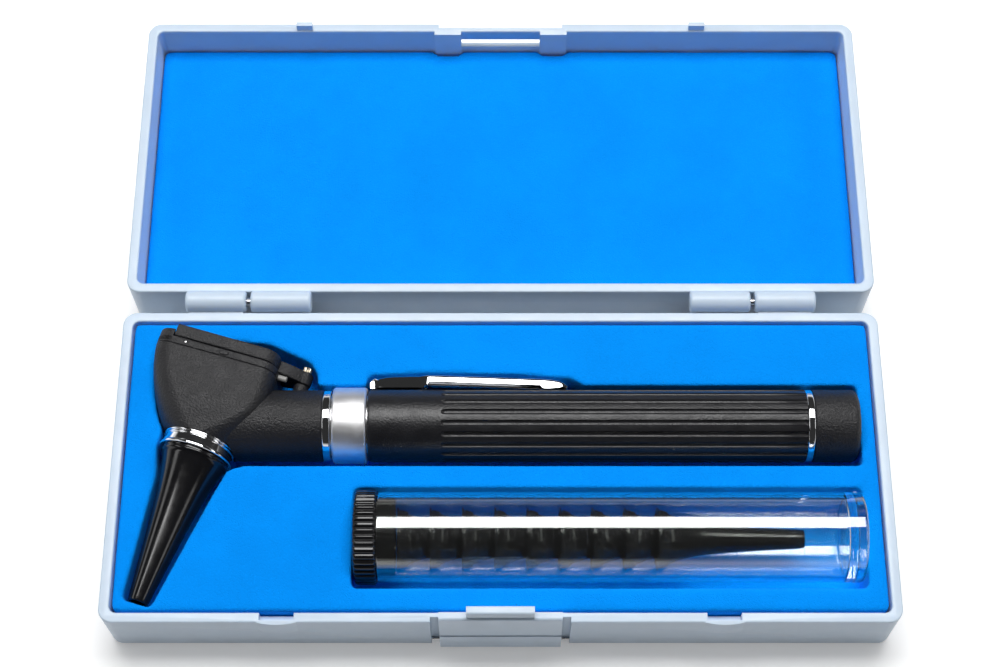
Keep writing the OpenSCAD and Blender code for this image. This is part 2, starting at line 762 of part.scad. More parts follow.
// Points of the head's section at station s, shrunk inwards by inset.
function head_section(s, inset) = [for (i = [0:section_n - 1])
    let (a = (i + 0.5) * 360 / section_n, r = head_corner(s))
    [head_centre(s) + sign(cos(a)) * (head_half(s) - r) + (r - inset) * cos(a),
     sign(sin(a)) * (head_rise(s) - r) + (r - inset) * sin(a)]];

// Solid skinned over the head's sections from station s1 to s2.
module head_skin(s1, s2, inset) {
    rings = [for (k = [0:ring_n]) s1 + (s2 - s1) * k / ring_n];
    points = [for (s = rings) for (p = head_section(s, inset)) [p[0], p[1], s]];
    sides = [for (k = [0:ring_n - 1]) for (i = [0:section_n - 1])
        let (j = (i + 1) % section_n, a = k * section_n, b = a + section_n)
        each [[a + i, b + i, a + j], [a + j, b + i, b + j]]];
    bottom = [for (i = [0:section_n - 1]) i];
    top = [for (i = [section_n - 1:-1:0]) ring_n * section_n + i];
    polyhedron(points, concat(sides, [bottom], [top]));
}

// Places children with local Z along the sight line and local X towards the handle.
module on_sight() {
    translate([head_x, head_y, axis_z]) rotate([0, 0, -head_lean]) rotate([-90, 0, 0]) children();
}

// Post under the lens pivot, rising out of the neck.
module pivot_post() {
    translate([pivot_t, 0, plate_s - 6]) cylinder(r = post_r, h = plate_t + 6);
}

module head_housing() {
    bore_r = ring_r - housing_t;
    color(black_plastic) difference() {
        union() {
            on_sight() {
                head_skin(housing_s, plate_s, 0);
                pivot_post();
            }
            on_handle(neck_root_x) cylinder(d = neck_d, h = neck_ring_x - neck_root_x);
        }
        on_sight() {
            // the neck stays clear of the specula ring
            translate([0, 0, -lift]) cylinder(r = ring_r + 0.4, h = housing_s + lift);
            head_skin(housing_s + housing_t, plate_s + lift, housing_t);
            translate([0, 0, housing_s - lift]) cylinder(r = bore_r, h = housing_t + 3 * lift);
            translate([pivot_t, 0, plate_s]) cylinder(d = pivot_d, h = head_len);
        }
        on_handle(neck_ring_x - core_in_neck) cylinder(d = core_d, h = core_in_neck + lift);
        on_handle(neck_root_x + 1) cylinder(d = core_bore, h = neck_ring_x - neck_root_x);
    }
}

// Outline of the viewing window.
module window_outline(half_w, half_h) {
    e = 2 / 2.8;
    polygon([for (i = [0:section_n - 1]) let (a = i * 360 / section_n)
        [half_w * signed_power(cos(a), e), half_h * signed_power(sin(a), e)]]);
}

// Ear that carries the lens pivot, on the handle side.
module ear_plan(r) {
    root = head_half_w - head_shift - 3;
    polygon([[root, -5], [pivot_t, -r], [pivot_t, r], [root, 5]]);
    translate([pivot_t, 0]) circle(r);
}

// The head's outline beyond the arc that the lens frame's free end swings on.
module stop_plan() {
    difference() {
        polygon(head_section(plate_s, 0));
        translate([pivot_t, 0]) circle(pivot_t + frame_edge + 0.25, $fn = 256);
    }
}

module face_plate() {
    color(black_plastic) on_sight() difference() {
        translate([0, 0, plate_s]) {
            linear_extrude(plate_t) difference() {
                polygon(head_section(plate_s, 0));
                translate([-head_shift, 0]) window_outline(lens_half_w + 0.8, lens_half_h + 0.8);
            }
            linear_extrude(plate_t + frame_t - stop_drop) stop_plan();
        }
        port_place() cylinder(d = port_d, h = port_len);
    }
}

module lens_frame() {
    color(black_plastic) on_sight() translate([0, 0, frame_s]) difference() {
        linear_extrude(frame_t) difference() {
            union() {
                intersection() {
                    polygon(head_section(head_len, 0));
                    translate([pivot_t, 0]) circle(pivot_t + frame_edge, $fn = 256);
                }
                ear_plan(ear_r);
            }
            translate([-head_shift, 0]) window_outline(lens_half_w, lens_half_h);
        }
        translate([pivot_t, 0, -lift]) cylinder(d = pivot_d + 2 * run_fit, h = frame_t + 2 * lift);
    }
}

module lens() {
    color("lightcyan", 0.5) on_sight() translate([-head_shift, 0, frame_s + 0.6])
        linear_extrude(frame_t - 1.2) window_outline(lens_half_w, lens_half_h);
}

module pivot_screw() {
    shank = frame_s + frame_t + 0.2 - plate_s;
    color("gold") on_sight() translate([pivot_t, 0, plate_s]) {
        cylinder(d = pivot_d, h = shank + 0.1);
        translate([0, 0, shank]) cylinder(d = pivot_d + 0.7, h = screw_head_len);
    }
}

// Places children in the face plate's edge on the handle side with local Z outwards.
module port_place() {
    seat = 0.8;
    translate([head_half(plate_s) + head_centre(plate_s) - seat, -port_rise, plate_s + plate_t / 2])
        rotate([0, 90, 0]) children();
}

module insufflation_port() {
    color("gainsboro") on_sight() port_place() tube(port_d, 0.8, port_len + 0.8);
}

module specula_ring() {
    r = ring_r;
    color("silver") on_sight() rotate_extrude()
        polygon([[r - 1.6, 0], [r + 0.2, 0], [r + 0.2, 0.5], [r - 0.1, 0.8], [r - 0.25, 3.1],
                 [r, 3.3], [r, ring_len], [r - 1.6, ring_len]]);
}

// Outer radius of the fitted speculum at station s below the ring.
function fitted_r(s) = let (k = -s / fitted_len)
    fitted_tip_d / 2 + (ring_r - 0.7 - fitted_tip_d / 2) * (0.72 * (1 - k) + 0.28 * pow(1 - k, 6));

module fitted_speculum() {
    steps = [for (k = [0:0.05:1]) -fitted_len * k];
    collar_r = ring_r - 1.6 - run_fit;
    outer = [for (s = steps) [fitted_r(s), s - 0.1]];
    inner = [for (i = [len(steps) - 1:-1:0]) [fitted_r(steps[i]) - speculum_t, steps[i] - 0.1]];
    color(black_plastic) on_sight() rotate_extrude()
        polygon(concat([[collar_r, ring_len - 0.6], [collar_r, -0.1]], outer, inner,
                       [[collar_r - speculum_t, 0.6], [collar_r - speculum_t, ring_len - 0.6]]));
}

module lamp_holder() {
    color("gold") on_handle(neck_ring_x - core_in_neck) cylinder(d = core_bore, h = 2.5);
}

module lamp() {
    d = 3.2;
    bulb = 8;
    color("white") on_handle(neck_ring_x - core_in_neck - bulb) {
        translate([0, 0, d / 2]) cylinder(d = d, h = bulb - d / 2);
        translate([0, 0, d / 2]) sphere(d = d);
    }
}

module canister_tube() {
    bore = tube_d - 2 * tube_t;
    color("white", 0.3) on_canister(canister_end_x - tube_len) difference() {
        rotate_extrude() {
            square([tube_d / 2, tube_len - 0.8]);
            square([tube_d / 2 - 0.8, tube_len]);
            translate([tube_d / 2 - 0.8, tube_len - 0.8]) circle(0.8);
        }
        translate([0, 0, -lift]) cylinder(d = bore, h = tube_len - tube_end_t + lift);
        // shallow recess in the closed end
        translate([0, 0, tube_len - tube_end_t + 2.2]) cylinder(d = bore - 4, h = tube_end_t);
    }
}

module canister_cap() {
    plug_len = 4.6;
    x = canister_end_x - tube_len - canister_cap_len;
    color(black_plastic) on_canister(x) difference() {
        union() {
            linear_extrude(canister_cap_len - 0.1) difference() {
                circle(d = cap_d);
                for (i = [0:ridge_n - 1]) rotate(i * 360 / ridge_n)
                    translate([cap_d / 2 + 0.1, 0]) circle(0.5, $fn = 16);
            }
            cylinder(d = tube_d - 2 * tube_t - 2 * run_fit, h = canister_cap_len + plug_len);
        }
        translate([0, 0, 1.6]) cylinder(d = tube_d - 2 * tube_t - 4, h = canister_cap_len + plug_len);
    }
}

// One spare speculum, collar first, local Z towards its tip.
// Outer radius of a spare speculum at distance d from its rim: a slim cone that flares like a trumpet.
function spare_r(d) = let (k = 1 - d / spare_len, tip_r = spare_tip_d / 2)
    tip_r + spare_taper * k + (spare_rim_d / 2 - tip_r - spare_taper) * pow(k, 6);

module spare_speculum() {
    steps = [for (k = [0:24]) spare_rim_len + (spare_len - spare_rim_len) * k / 24];
    outer = [for (d = steps) [spare_r(d), d]];
    inner = [for (k = [24:-1:0]) [spare_r(steps[k]) - spare_t, steps[k]]];
    rotate_extrude() polygon(concat([[spare_rim_d / 2, 0], [spare_rim_d / 2, spare_rim_len]], outer, inner,
                                    [[spare_r(spare_rim_len) - spare_t, 0]]));
}

module speculum(i) {
    rest = (tube_d - 2 * tube_t - spare_rim_d) / 2 - seat_gap;
    front_x = canister_end_x - tube_len + spare_start + spare_pitch * (i - 1);
    color(black_plastic) translate([0, 0, -rest]) on_canister(front_x) spare_speculum();
}

base_shell();
base_foam();
hinge_pin(-1);  // hinge_pin_left
hinge_pin(1);  // hinge_pin_right
latch_pin();
lid_shell();
lid_foam();
latch_flap();
head_housing();
face_plate();
specula_ring();
insufflation_port();
pivot_screw();
lamp();
lamp_holder();
neck_ring();
core_tube();
handle_sleeve();
end_ring();
pocket_clip();
contact_plunger();
battery(battery_x);  // battery_front
battery(battery_x + battery_len + cell_play);  // battery_rear
lens_frame();
lens();
fitted_speculum();
switch_collar();
battery_cap();
battery_spring();
canister_tube();
for (i = [1:spare_n]) speculum(i);
canister_cap();
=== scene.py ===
"""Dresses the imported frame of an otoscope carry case.

Two moulded shells with foam inserts hold the otoscope and its canister of spare specula. Lengths are in
metres, in the frame's own axes: +X along the hinge line, +Y from the latch to the hinges, +Z up.
"""

import bmesh
import bpy
import numpy as np
from mathutils import Matrix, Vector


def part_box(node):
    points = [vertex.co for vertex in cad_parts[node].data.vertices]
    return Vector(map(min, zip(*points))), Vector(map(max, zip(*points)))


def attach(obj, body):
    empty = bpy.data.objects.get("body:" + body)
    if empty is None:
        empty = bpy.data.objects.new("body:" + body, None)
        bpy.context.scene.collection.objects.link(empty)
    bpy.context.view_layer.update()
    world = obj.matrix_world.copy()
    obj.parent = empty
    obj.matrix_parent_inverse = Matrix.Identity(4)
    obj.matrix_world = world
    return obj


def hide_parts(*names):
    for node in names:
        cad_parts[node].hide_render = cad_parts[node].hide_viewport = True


bl_info = {
    "name": "Otoscope carry case",
    "version": (1, 0, 0),
    "blender": (4, 5, 0),
    "location": "3D View > Sidebar > Carry case",
    "description": "Builds the dressed model of an otoscope carry case on its packed frame",
    "category": "Object",
}

MM = 0.001
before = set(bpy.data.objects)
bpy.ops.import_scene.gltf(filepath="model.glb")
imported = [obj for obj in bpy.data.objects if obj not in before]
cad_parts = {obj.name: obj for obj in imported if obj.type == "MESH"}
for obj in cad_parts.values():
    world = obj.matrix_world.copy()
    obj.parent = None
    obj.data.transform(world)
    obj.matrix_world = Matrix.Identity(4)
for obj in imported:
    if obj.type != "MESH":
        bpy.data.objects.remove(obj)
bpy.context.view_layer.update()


def corners(node):
    """The lowest and highest corner of a frame node as numpy arrays."""
    low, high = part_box(node)
    return np.array(low), np.array(high)


SLEEVE = corners("handle_sleeve")
TUBE = corners("canister_tube")
HANDLE_AXIS = (SLEEVE[0] + SLEEVE[1]) / 2
CANISTER_AXIS = (TUBE[0] + TUBE[1]) / 2
CORE_BORE = 8.05 * MM


class CaseSettings(bpy.types.PropertyGroup):
    """Edge rounding and colour of the two shells and the latch."""

    edge_bevel: bpy.props.FloatProperty(
        name="Edge rounding",
        description="Radius of the moulded edges of the shells and the latch",
        default=0.22 * MM,
        min=0.05 * MM,
        max=0.6 * MM,
        unit="LENGTH",
        precision=5,
    )
    shell_colour: bpy.props.FloatVectorProperty(
        name="Shell colour",
        description="Colour of the moulded shells and the latch flap",
        subtype="COLOR",
        size=3,
        min=0,
        max=1,
        default=(0.56, 0.665, 0.785),
    )


class FoamSettings(bpy.types.PropertyGroup):
    """Sizes and colour of the foam inserts."""

    voxel: bpy.props.FloatProperty(
        name="Foam voxel",
        description="Grid size that the foam's soft cut edges are rebuilt at",
        default=0.8 * MM,
        min=0.5 * MM,
        max=2 * MM,
        unit="LENGTH",
        precision=5,
    )
    foam_colour: bpy.props.FloatVectorProperty(
        name="Foam colour",
        description="Colour of the foam",
        subtype="COLOR",
        size=3,
        min=0,
        max=1,
        default=(0.0, 0.29, 0.97),
    )


class HandleSettings(bpy.types.PropertyGroup):
    """Sizes of the battery handle, and the colour of the black plastic."""

    groove_count: bpy.props.IntProperty(
        name="Grooves",
        description="Number of grooves round the sleeve",
        default=20,
        min=12,
        max=24,
    )
    groove_depth: bpy.props.FloatProperty(
        name="Groove depth",
        description="Depth of a groove at its middle",
        default=0.55 * MM,
        min=0.2 * MM,
        max=0.9 * MM,
        unit="LENGTH",
        precision=5,
    )
    ribbed_length: bpy.props.FloatProperty(
        name="Ribbed length",
        description="Length of the grooved part, measured from the end ring",
        default=92.4 * MM,
        min=60 * MM,
        max=96 * MM,
        unit="LENGTH",
        precision=4,
    )
    plastic_colour: bpy.props.FloatVectorProperty(
        name="Plastic colour",
        description="Colour of the textured plastic of head and handle",
        subtype="COLOR",
        size=3,
        min=0,
        max=1,
        default=(0.011, 0.011, 0.013),
    )


class HeadSettings(bpy.types.PropertyGroup):
    """Place and lean of the otoscope's head, as the frame's own solids have them."""

    origin: bpy.props.FloatVectorProperty(
        name="Ring centre",
        description="Centre of the open end of the specula ring",
        subtype="XYZ_LENGTH",
        size=3,
        default=(-77.4 * MM, 2.5 * MM, float(HANDLE_AXIS[2])),
    )
    lean: bpy.props.FloatProperty(
        name="Lean",
        description="Angle of the sight line from the case's depth direction",
        subtype="ANGLE",
        default=np.radians(16.8),
    )


class CanisterSettings(bpy.types.PropertyGroup):
    """Sizes of the canister and its spare specula."""

    ridge_count: bpy.props.IntProperty(
        name="Cap ridges",
        description="Number of ridges round the canister cap",
        default=44,
        min=24,
        max=60,
    )
    spare_count: bpy.props.IntProperty(
        name="Spare specula",
        description="Number of specula nested in the canister",
        default=9,
        min=1,
        max=9,
    )


class StageSettings(bpy.types.PropertyGroup):
    """Camera and floor."""

    pitch: bpy.props.FloatProperty(
        name="Camera pitch",
        description="How far the camera looks down from level",
        subtype="ANGLE",
        default=np.radians(65),
    )
    lens: bpy.props.FloatProperty(
        name="Lens",
        description="Focal length on a sensor 36 mm wide, in millimetres",
        default=72.1,
        min=35,
        max=120,
    )
    floor_colour: bpy.props.FloatVectorProperty(
        name="Floor colour",
        description="Colour of the floor",
        subtype="COLOR",
        size=3,
        min=0,
        max=1,
        default=(0.93, 0.93, 0.93),
    )


# Surfaces


def mesh_piece(name, points, faces, closed=True):
    """Makes a mesh object from an (n, 3) array of points in metres and an (m, 3 or 4) array of point numbers.

    Doubled points, such as those of a pole, are merged, and the faces of a closed form are turned outwards.
    """
    mesh = bpy.data.meshes.new(name)
    mesh.from_pydata(np.asarray(points, float).tolist(), [], np.asarray(faces).tolist())
    form = bmesh.new()
    form.from_mesh(mesh)
    bmesh.ops.remove_doubles(form, verts=form.verts, dist=2e-6)
    if closed:
        bmesh.ops.recalc_face_normals(form, faces=form.faces)
    form.to_mesh(mesh)
    form.free()
    piece = bpy.data.objects.new(name, mesh)
    bpy.context.scene.collection.objects.link(piece)
    return piece


def grid_faces(rows, columns, wrap_rows=False, wrap_columns=True):
    """Four-cornered faces of a grid whose point (row, column) has the number row * columns + column."""
    r = np.arange(rows if wrap_rows else rows - 1)[:, None]
    c = np.arange(columns if wrap_columns else columns - 1)[None, :]
    r2, c2 = (r + 1) % rows, (c + 1) % columns
    quads = [r * columns + c, r * columns + c2, r2 * columns + c2, r2 * columns + c]
    return np.stack(np.broadcast_arrays(*quads), -1).reshape(-1, 4)


def grid_piece(name, grid, wrap_rows=False, wrap_columns=True, closed=True):
    """Makes a piece from a (rows, columns, 3) array of points."""
    rows, columns = grid.shape[:2]
    return mesh_piece(name, grid.reshape(-1, 3), grid_faces(rows, columns, wrap_rows, wrap_columns), closed)


def filleted(corner_points, radii, steps=6):
    """A polyline with rounded corners.

    At each corner of turn t the arc of radius r starts and ends r * tan(t / 2) from the corner. Its centre
    lies on the bisector, r / cos(t / 2) from the corner. The first and the last point stay as they are.
    """
    corner_points = np.asarray(corner_points, float)
    line = [corner_points[:1]]
    for before, at, after, r in zip(corner_points[:-2], corner_points[1:-1], corner_points[2:], radii):
        a = (before - at) / np.linalg.norm(before - at)
        b = (after - at) / np.linalg.norm(after - at)
        half = np.arccos(np.clip(a @ b, -1, 1)) / 2
        if r <= 0 or half > np.pi / 2 - 0.01:
            line.append(at[None])
            continue
        r = min(r, 0.49 * min(np.linalg.norm(before - at), np.linalg.norm(after - at)) * np.tan(half))
        centre = at + (a + b) / np.linalg.norm(a + b) * r / np.sin(half)
        start = at + a * r / np.tan(half) - centre
        end = at + b * r / np.tan(half) - centre
        t = np.linspace(0, 1, steps + 1)[:, None]
        angle = np.pi - 2 * half
        line.append(centre + (np.sin((1 - t) * angle) * start + np.sin(t * angle) * end) / np.sin(angle))
    line.append(corner_points[-1:])
    return np.concatenate(line)


def turned(profile, columns=96):
    """Surface of revolution of an (n, 2) array of (radius, height) about local Z.

    Point (i, j) is (radius_i cos a_j, radius_i sin a_j, height_i) with a_j going once round.
    """
    a = np.arange(columns) * 2 * np.pi / columns
    r, h = np.asarray(profile, float).T
    return np.stack([r[:, None] * np.cos(a), r[:, None] * np.sin(a), np.repeat(h[:, None], columns, 1)], -1)


def along_x(points, x, y, z):
    """Places points with local Z along +X from x, local X pointing down, on an axis at y and z."""
    p = np.asarray(points)
    return np.stack([x + p[..., 2], y + p[..., 1], z - p[..., 0]], -1)


def on_handle(points, x):
    """Places points with local Z along the handle's axis, starting at x."""
    return along_x(points, x, HANDLE_AXIS[1], HANDLE_AXIS[2])


def on_canister(points, x, drop=0.0):
    """Places points with local Z along the canister's axis, starting at x and lowered by drop."""
    return along_x(points, x, CANISTER_AXIS[1], CANISTER_AXIS[2] - drop)


def on_sight(points):
    """Places points with local Z along the sight line and local X towards the handle."""
    head = bpy.context.scene.otocase_head
    c, s = np.cos(head.lean), np.sin(head.lean)
    p = np.asarray(points)
    x, y, z = p[..., 0], p[..., 2], -p[..., 1]
    return np.stack([x * c + y * s, y * c - x * s, z], -1) + np.array(head.origin)


def ring_profile(r1, r2, z1, z2, fillet):
    """Closed profile of a turned ring between two radii and two heights, with its outer corners rounded."""
    outer = filleted([[r2, (z1 + z2) / 2], [r2, z2], [r1, z2], [r1, z1], [r2, z1], [r2, (z1 + z2) / 2]],
                     [fillet, fillet * 0.5, fillet * 0.5, fillet], 5)
    return outer[:-1]


def smooth_by_angle(piece, degrees=35):
    """Shades a mesh smooth and marks as sharp each edge that turns by more than the angle."""
    form = bmesh.new()
    form.from_mesh(piece.data)
    limit = float(np.radians(degrees))
    for face in form.faces:
        face.smooth = True
    for edge in form.edges:
        edge.smooth = len(edge.link_faces) != 2 or edge.calc_face_angle(0) < limit
    form.to_mesh(piece.data)
    form.free()


def merged_copy(node, name):
    """Copies a frame node's mesh into a new piece, its triangles merged and its flat areas dissolved."""
    piece = bpy.data.objects.new(name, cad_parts[node].data.copy())
    piece.data.name = name
    piece.data.materials.clear()
    bpy.context.scene.collection.objects.link(piece)
    form = bmesh.new()
    form.from_mesh(piece.data)
    bmesh.ops.remove_doubles(form, verts=form.verts, dist=4e-6)
    bmesh.ops.dissolve_limit(form, angle_limit=np.radians(0.6), verts=form.verts, edges=form.edges)
    form.to_mesh(piece.data)
    form.free()
    return piece


def apply_modifiers(piece):
    """Applies every modifier of a piece to its mesh."""
    bpy.context.view_layer.objects.active = piece
    for modifier in list(piece.modifiers):
        with bpy.context.temp_override(object=piece, active_object=piece, selected_objects=[piece]):
            bpy.ops.object.modifier_apply(modifier=modifier.name)


def rounded_edges(piece, width, segments):
    """Rounds the edges of a piece that turn by 40 degrees or more with a Bevel modifier and applies it."""
    bevel = piece.modifiers.new("Edges", "BEVEL")
    bevel.width = width
    bevel.segments = segments
    bevel.limit_method = "ANGLE"
    bevel.angle_limit = np.radians(40)
    bevel.harden_normals = False
    bevel.miter_outer = "MITER_ARC"
    apply_modifiers(piece)


def finish_piece(piece, body, surface, slot, *nodes):
    """Gives a finished piece its material and its body, and hides the nodes that it stands for. The slot is
    not used.
    """
    piece.data.materials.clear()
    piece.data.materials.append(surface)
    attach(piece, body)
    if nodes:
        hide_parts(*nodes)
    return piece


def dress_node(node, surface):
    """Gives a frame node that keeps its own shape a material."""
    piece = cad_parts[node]
    piece.data.materials.clear()
    piece.data.materials.append(surface)


# Shader groups


def new_group(name, inputs, outputs):
    """Makes an empty shader node group with named sockets and returns it with its nodes and links."""
    group = bpy.data.node_groups.new(name, "ShaderNodeTree")
    for label, kind, value in inputs:
        socket = group.interface.new_socket(label, in_out="INPUT", socket_type=kind)
        if value is not None:
            socket.default_value = value
    for label, kind in outputs:
        group.interface.new_socket(label, in_out="OUTPUT", socket_type=kind)
    given = group.nodes.new("NodeGroupInput")
    out = group.nodes.new("NodeGroupOutput")
    return group, group.nodes, group.links, given, out


def noise(nodes, links, vector, scale, detail, roughness):
    """Adds a noise texture; scale is a number or an output socket."""
    texture = nodes.new("ShaderNodeTexNoise")
    texture.inputs["Detail"].default_value = detail
    texture.inputs["Roughness"].default_value = roughness
    links.new(vector, texture.inputs["Vector"])
    if isinstance(scale, (int, float)):
        texture.inputs["Scale"].default_value = scale
    else:
        links.new(scale, texture.inputs["Scale"])
    return texture.outputs["Fac"]


def ramp(nodes, links, value, low, high, to_low=0.0, to_high=1.0):
    """Maps a value from one range to another, clamped, with smooth ends."""
    node = nodes.new("ShaderNodeMapRange")
    node.interpolation_type = "SMOOTHSTEP"
    links.new(value, node.inputs["Value"])
    for label, number in (("From Min", low), ("From Max", high), ("To Min", to_low), ("To Max", to_high)):
        if isinstance(number, (int, float)):
            node.inputs[label].default_value = number
        else:
            links.new(number, node.inputs[label])
    return node.outputs["Result"]


def bumped(nodes, links, height, depth, strength):
    """Adds a bump of a height and a depth, both output sockets, and returns its normal."""
    bump = nodes.new("ShaderNodeBump")
    bump.inputs["Strength"].default_value = strength
    links.new(height, bump.inputs["Height"])
    links.new(depth, bump.inputs["Distance"])
    return bump.outputs["Normal"]


def grain_group():
    """Moulded grain: fine bumps, broad changes of tone and smudges of gloss between them in size."""
    if "Moulded grain" in bpy.data.node_groups:
        return bpy.data.node_groups["Moulded grain"]
    group, nodes, links, given, out = new_group(
        "Moulded grain",
        [("Grain per metre", "NodeSocketFloat", 2600.0), ("Depth", "NodeSocketFloat", 0.00004),
         ("Smooth", "NodeSocketFloat", 0.35), ("Rough", "NodeSocketFloat", 0.5)],
        [("Normal", "NodeSocketVector"), ("Tone", "NodeSocketFloat"), ("Roughness", "NodeSocketFloat")],
    )
    place = nodes.new("ShaderNodeTexCoord").outputs["Object"]
    fine = noise(nodes, links, place, given.outputs["Grain per metre"], 2, 0.6)
    broad = noise(nodes, links, place, 90.0, 4, 0.6)
    links.new(bumped(nodes, links, fine, given.outputs["Depth"], 0.6), out.inputs["Normal"])
    links.new(ramp(nodes, links, broad, 0.3, 0.7), out.inputs["Tone"])
    smudge = noise(nodes, links, place, 260.0, 5, 0.65)
    links.new(ramp(nodes, links, smudge, 0.32, 0.68, given.outputs["Smooth"], given.outputs["Rough"]),
              out.inputs["Roughness"])
    return group


def cells_group():
    """Foam cells: a bump of small pit hollows of uneven size over a slightly uneven cut surface, with the pit
    mask also put out for painted shade.
    """
    if "Foam cells" in bpy.data.node_groups:
        return bpy.data.node_groups["Foam cells"]
    group, nodes, links, given, out = new_group(
        "Foam cells",
        [("Cells per metre", "NodeSocketFloat", 2200.0), ("Depth", "NodeSocketFloat", 0.00012)],
        [("Normal", "NodeSocketVector"), ("Painted pit shade", "NodeSocketFloat"), ("Tone", "NodeSocketFloat")],
    )
    place = nodes.new("ShaderNodeTexCoord").outputs["Object"]
    cells = nodes.new("ShaderNodeTexVoronoi")
    cells.feature = "F1"
    links.new(place, cells.inputs["Vector"])
    links.new(given.outputs["Cells per metre"], cells.inputs["Scale"])
    pit_relief_and_shade = ramp(nodes, links, cells.outputs["Distance"], 0.1, 0.6)
    rough = noise(nodes, links, place, 900.0, 4, 0.7)
    height = nodes.new("ShaderNodeMath")
    height.operation = "ADD"
    links.new(pit_relief_and_shade, height.inputs[0])
    links.new(rough, height.inputs[1])
    links.new(bumped(nodes, links, height.outputs[0], given.outputs["Depth"], 0.7), out.inputs["Normal"])
    # The pit mask goes out for painted shade in each pit as well as for the bump.
    links.new(pit_relief_and_shade, out.inputs["Painted pit shade"])
    links.new(ramp(nodes, links, noise(nodes, links, place, 55.0, 5, 0.6), 0.3, 0.7), out.inputs["Tone"])
    return group


def turning_group():
    """Turning marks: fine rings round an axis along X, as a lathe leaves them, and light smudges."""
    if "Turning marks" in bpy.data.node_groups:
        return bpy.data.node_groups["Turning marks"]
    group, nodes, links, given, out = new_group(
        "Turning marks",
        [("Marks per metre", "NodeSocketFloat", 6000.0), ("Depth", "NodeSocketFloat", 0.000006),
         ("Smooth", "NodeSocketFloat", 0.1), ("Rough", "NodeSocketFloat", 0.25)],
        [("Normal", "NodeSocketVector"), ("Tone", "NodeSocketFloat"), ("Roughness", "NodeSocketFloat")],
    )
    place = nodes.new("ShaderNodeTexCoord").outputs["Object"]
    squeeze = nodes.new("ShaderNodeMapping")
    squeeze.inputs["Scale"].default_value = (1.0, 0.012, 0.012)
    links.new(place, squeeze.inputs["Vector"])
    marks = noise(nodes, links, squeeze.outputs["Vector"], given.outputs["Marks per metre"], 3, 0.7)
    links.new(bumped(nodes, links, marks, given.outputs["Depth"], 0.5), out.inputs["Normal"])
    links.new(marks, out.inputs["Tone"])
    smudge = noise(nodes, links, place, 300.0, 4, 0.6)
    links.new(ramp(nodes, links, smudge, 0.3, 0.7, given.outputs["Smooth"], given.outputs["Rough"]),
              out.inputs["Roughness"])
    return group


# Materials


def start_material(name):
    """A new material with its Principled BSDF, or None in its place where the material exists."""
    surface = bpy.data.materials.get(name)
    if surface:
        return surface, None
    surface = bpy.data.materials.new(name)
    surface.use_nodes = True
    return surface, surface.node_tree.nodes["Principled BSDF"]


def place_group(surface, group, **values):
    """Adds a group node to a material and sets its inputs by name."""
    node = surface.node_tree.nodes.new("ShaderNodeGroup")
    node.node_tree = group
    for label, value in values.items():
        node.inputs[label.replace("_", " ")].default_value = value
    return node


def two_tones(surface, factor, dark, light):
    """Mixes two colours by a factor and returns the colour output."""
    mix = surface.node_tree.nodes.new("ShaderNodeMix")
    mix.data_type = "RGBA"
    surface.node_tree.links.new(factor, mix.inputs["Factor"])
    mix.inputs["A"].default_value = (*dark, 1)
    mix.inputs["B"].default_value = (*light, 1)
    return mix.outputs["Result"]


def shade(colour, amount):
    """A colour times a number, kept at 1 or less."""
    return tuple(min(1.0, float(c) * amount) for c in colour)


def feed_shader(surface, bsdf, group, colour, contrast):
    """Feeds a group's roughness and normal to a shader, and its tone as two shades of a colour."""
    links = surface.node_tree.links
    dark, light = shade(colour, 1 - contrast), shade(colour, 1 + contrast)
    links.new(two_tones(surface, group.outputs["Tone"], dark, light), bsdf.inputs["Base Color"])
    links.new(group.outputs["Roughness"], bsdf.inputs["Roughness"])
    links.new(group.outputs["Normal"], bsdf.inputs["Normal"])


def grained(name, colour, grain, depth, smooth, rough, contrast, specular=0.5):
    """Moulded plastic with fine grain, slow changes of tone and uneven gloss."""
    surface, bsdf = start_material(name)
    if bsdf is None:
        return surface
    group = place_group(surface, grain_group(), Grain_per_metre=grain, Depth=depth, Smooth=smooth,
                        Rough=rough)
    feed_shader(surface, bsdf, group, colour, contrast)
    bsdf.inputs["Specular IOR Level"].default_value = specular
    return surface


def case_plastic():
    """Pale blue moulded plastic of the shells, faintly grained."""
    colour = bpy.context.scene.otocase_case.shell_colour
    surface = grained("Pale blue plastic", colour, grain=1500.0, depth=0.000015, smooth=0.34, rough=0.46,
                      contrast=0.02)
    bsdf = surface.node_tree.nodes["Principled BSDF"]
    bsdf.inputs["Subsurface Weight"].default_value = 0.12
    bsdf.inputs["Subsurface Radius"].default_value = (0.6, 0.8, 1.0)
    bsdf.inputs["Subsurface Scale"].default_value = 0.0012
    return surface


def textured_black():
    """Spark-textured black plastic of the head and handle."""
    colour = bpy.context.scene.otocase_handle.plastic_colour
    return grained("Textured black plastic", colour, grain=1900.0, depth=0.00045, smooth=0.42, rough=0.54,
                   contrast=0.18, specular=0.4)


def ribbed_black():
    """Black plastic of the ribbed sleeve, smoother than the head."""
    colour = bpy.context.scene.otocase_handle.plastic_colour
    return grained("Ribbed black plastic", colour, grain=1900.0, depth=0.00015, smooth=0.3, rough=0.42,
                   contrast=0.15, specular=0.45)


def gloss_black():
    """Polished black plastic of the specula and the canister's cap."""
    return grained("Gloss black plastic", (0.006, 0.006, 0.007), grain=700.0, depth=0.000006, smooth=0.12,
                   rough=0.2, contrast=0.2)


def grey_plastic():
    """Pale grey plastic of the port."""
    return grained("Grey plastic", (0.30, 0.30, 0.29), grain=2000.0, depth=0.00002, smooth=0.4, rough=0.55,
                   contrast=0.05)


def turned_metal(name, colour, smooth, rough, depth, contrast):
    """Turned metal with fine rings and smudges."""
    surface, bsdf = start_material(name)
    if bsdf is None:
        return surface
    group = place_group(surface, turning_group(), Depth=depth, Smooth=smooth, Rough=rough)
    feed_shader(surface, bsdf, group, colour, contrast)
    bsdf.inputs["Metallic"].default_value = 1.0
    return surface


def chrome():
    """Bright chrome plate."""
    return turned_metal("Bright chrome", (0.82, 0.83, 0.85), smooth=0.04, rough=0.08, depth=0.0000004,
                        contrast=0.02)


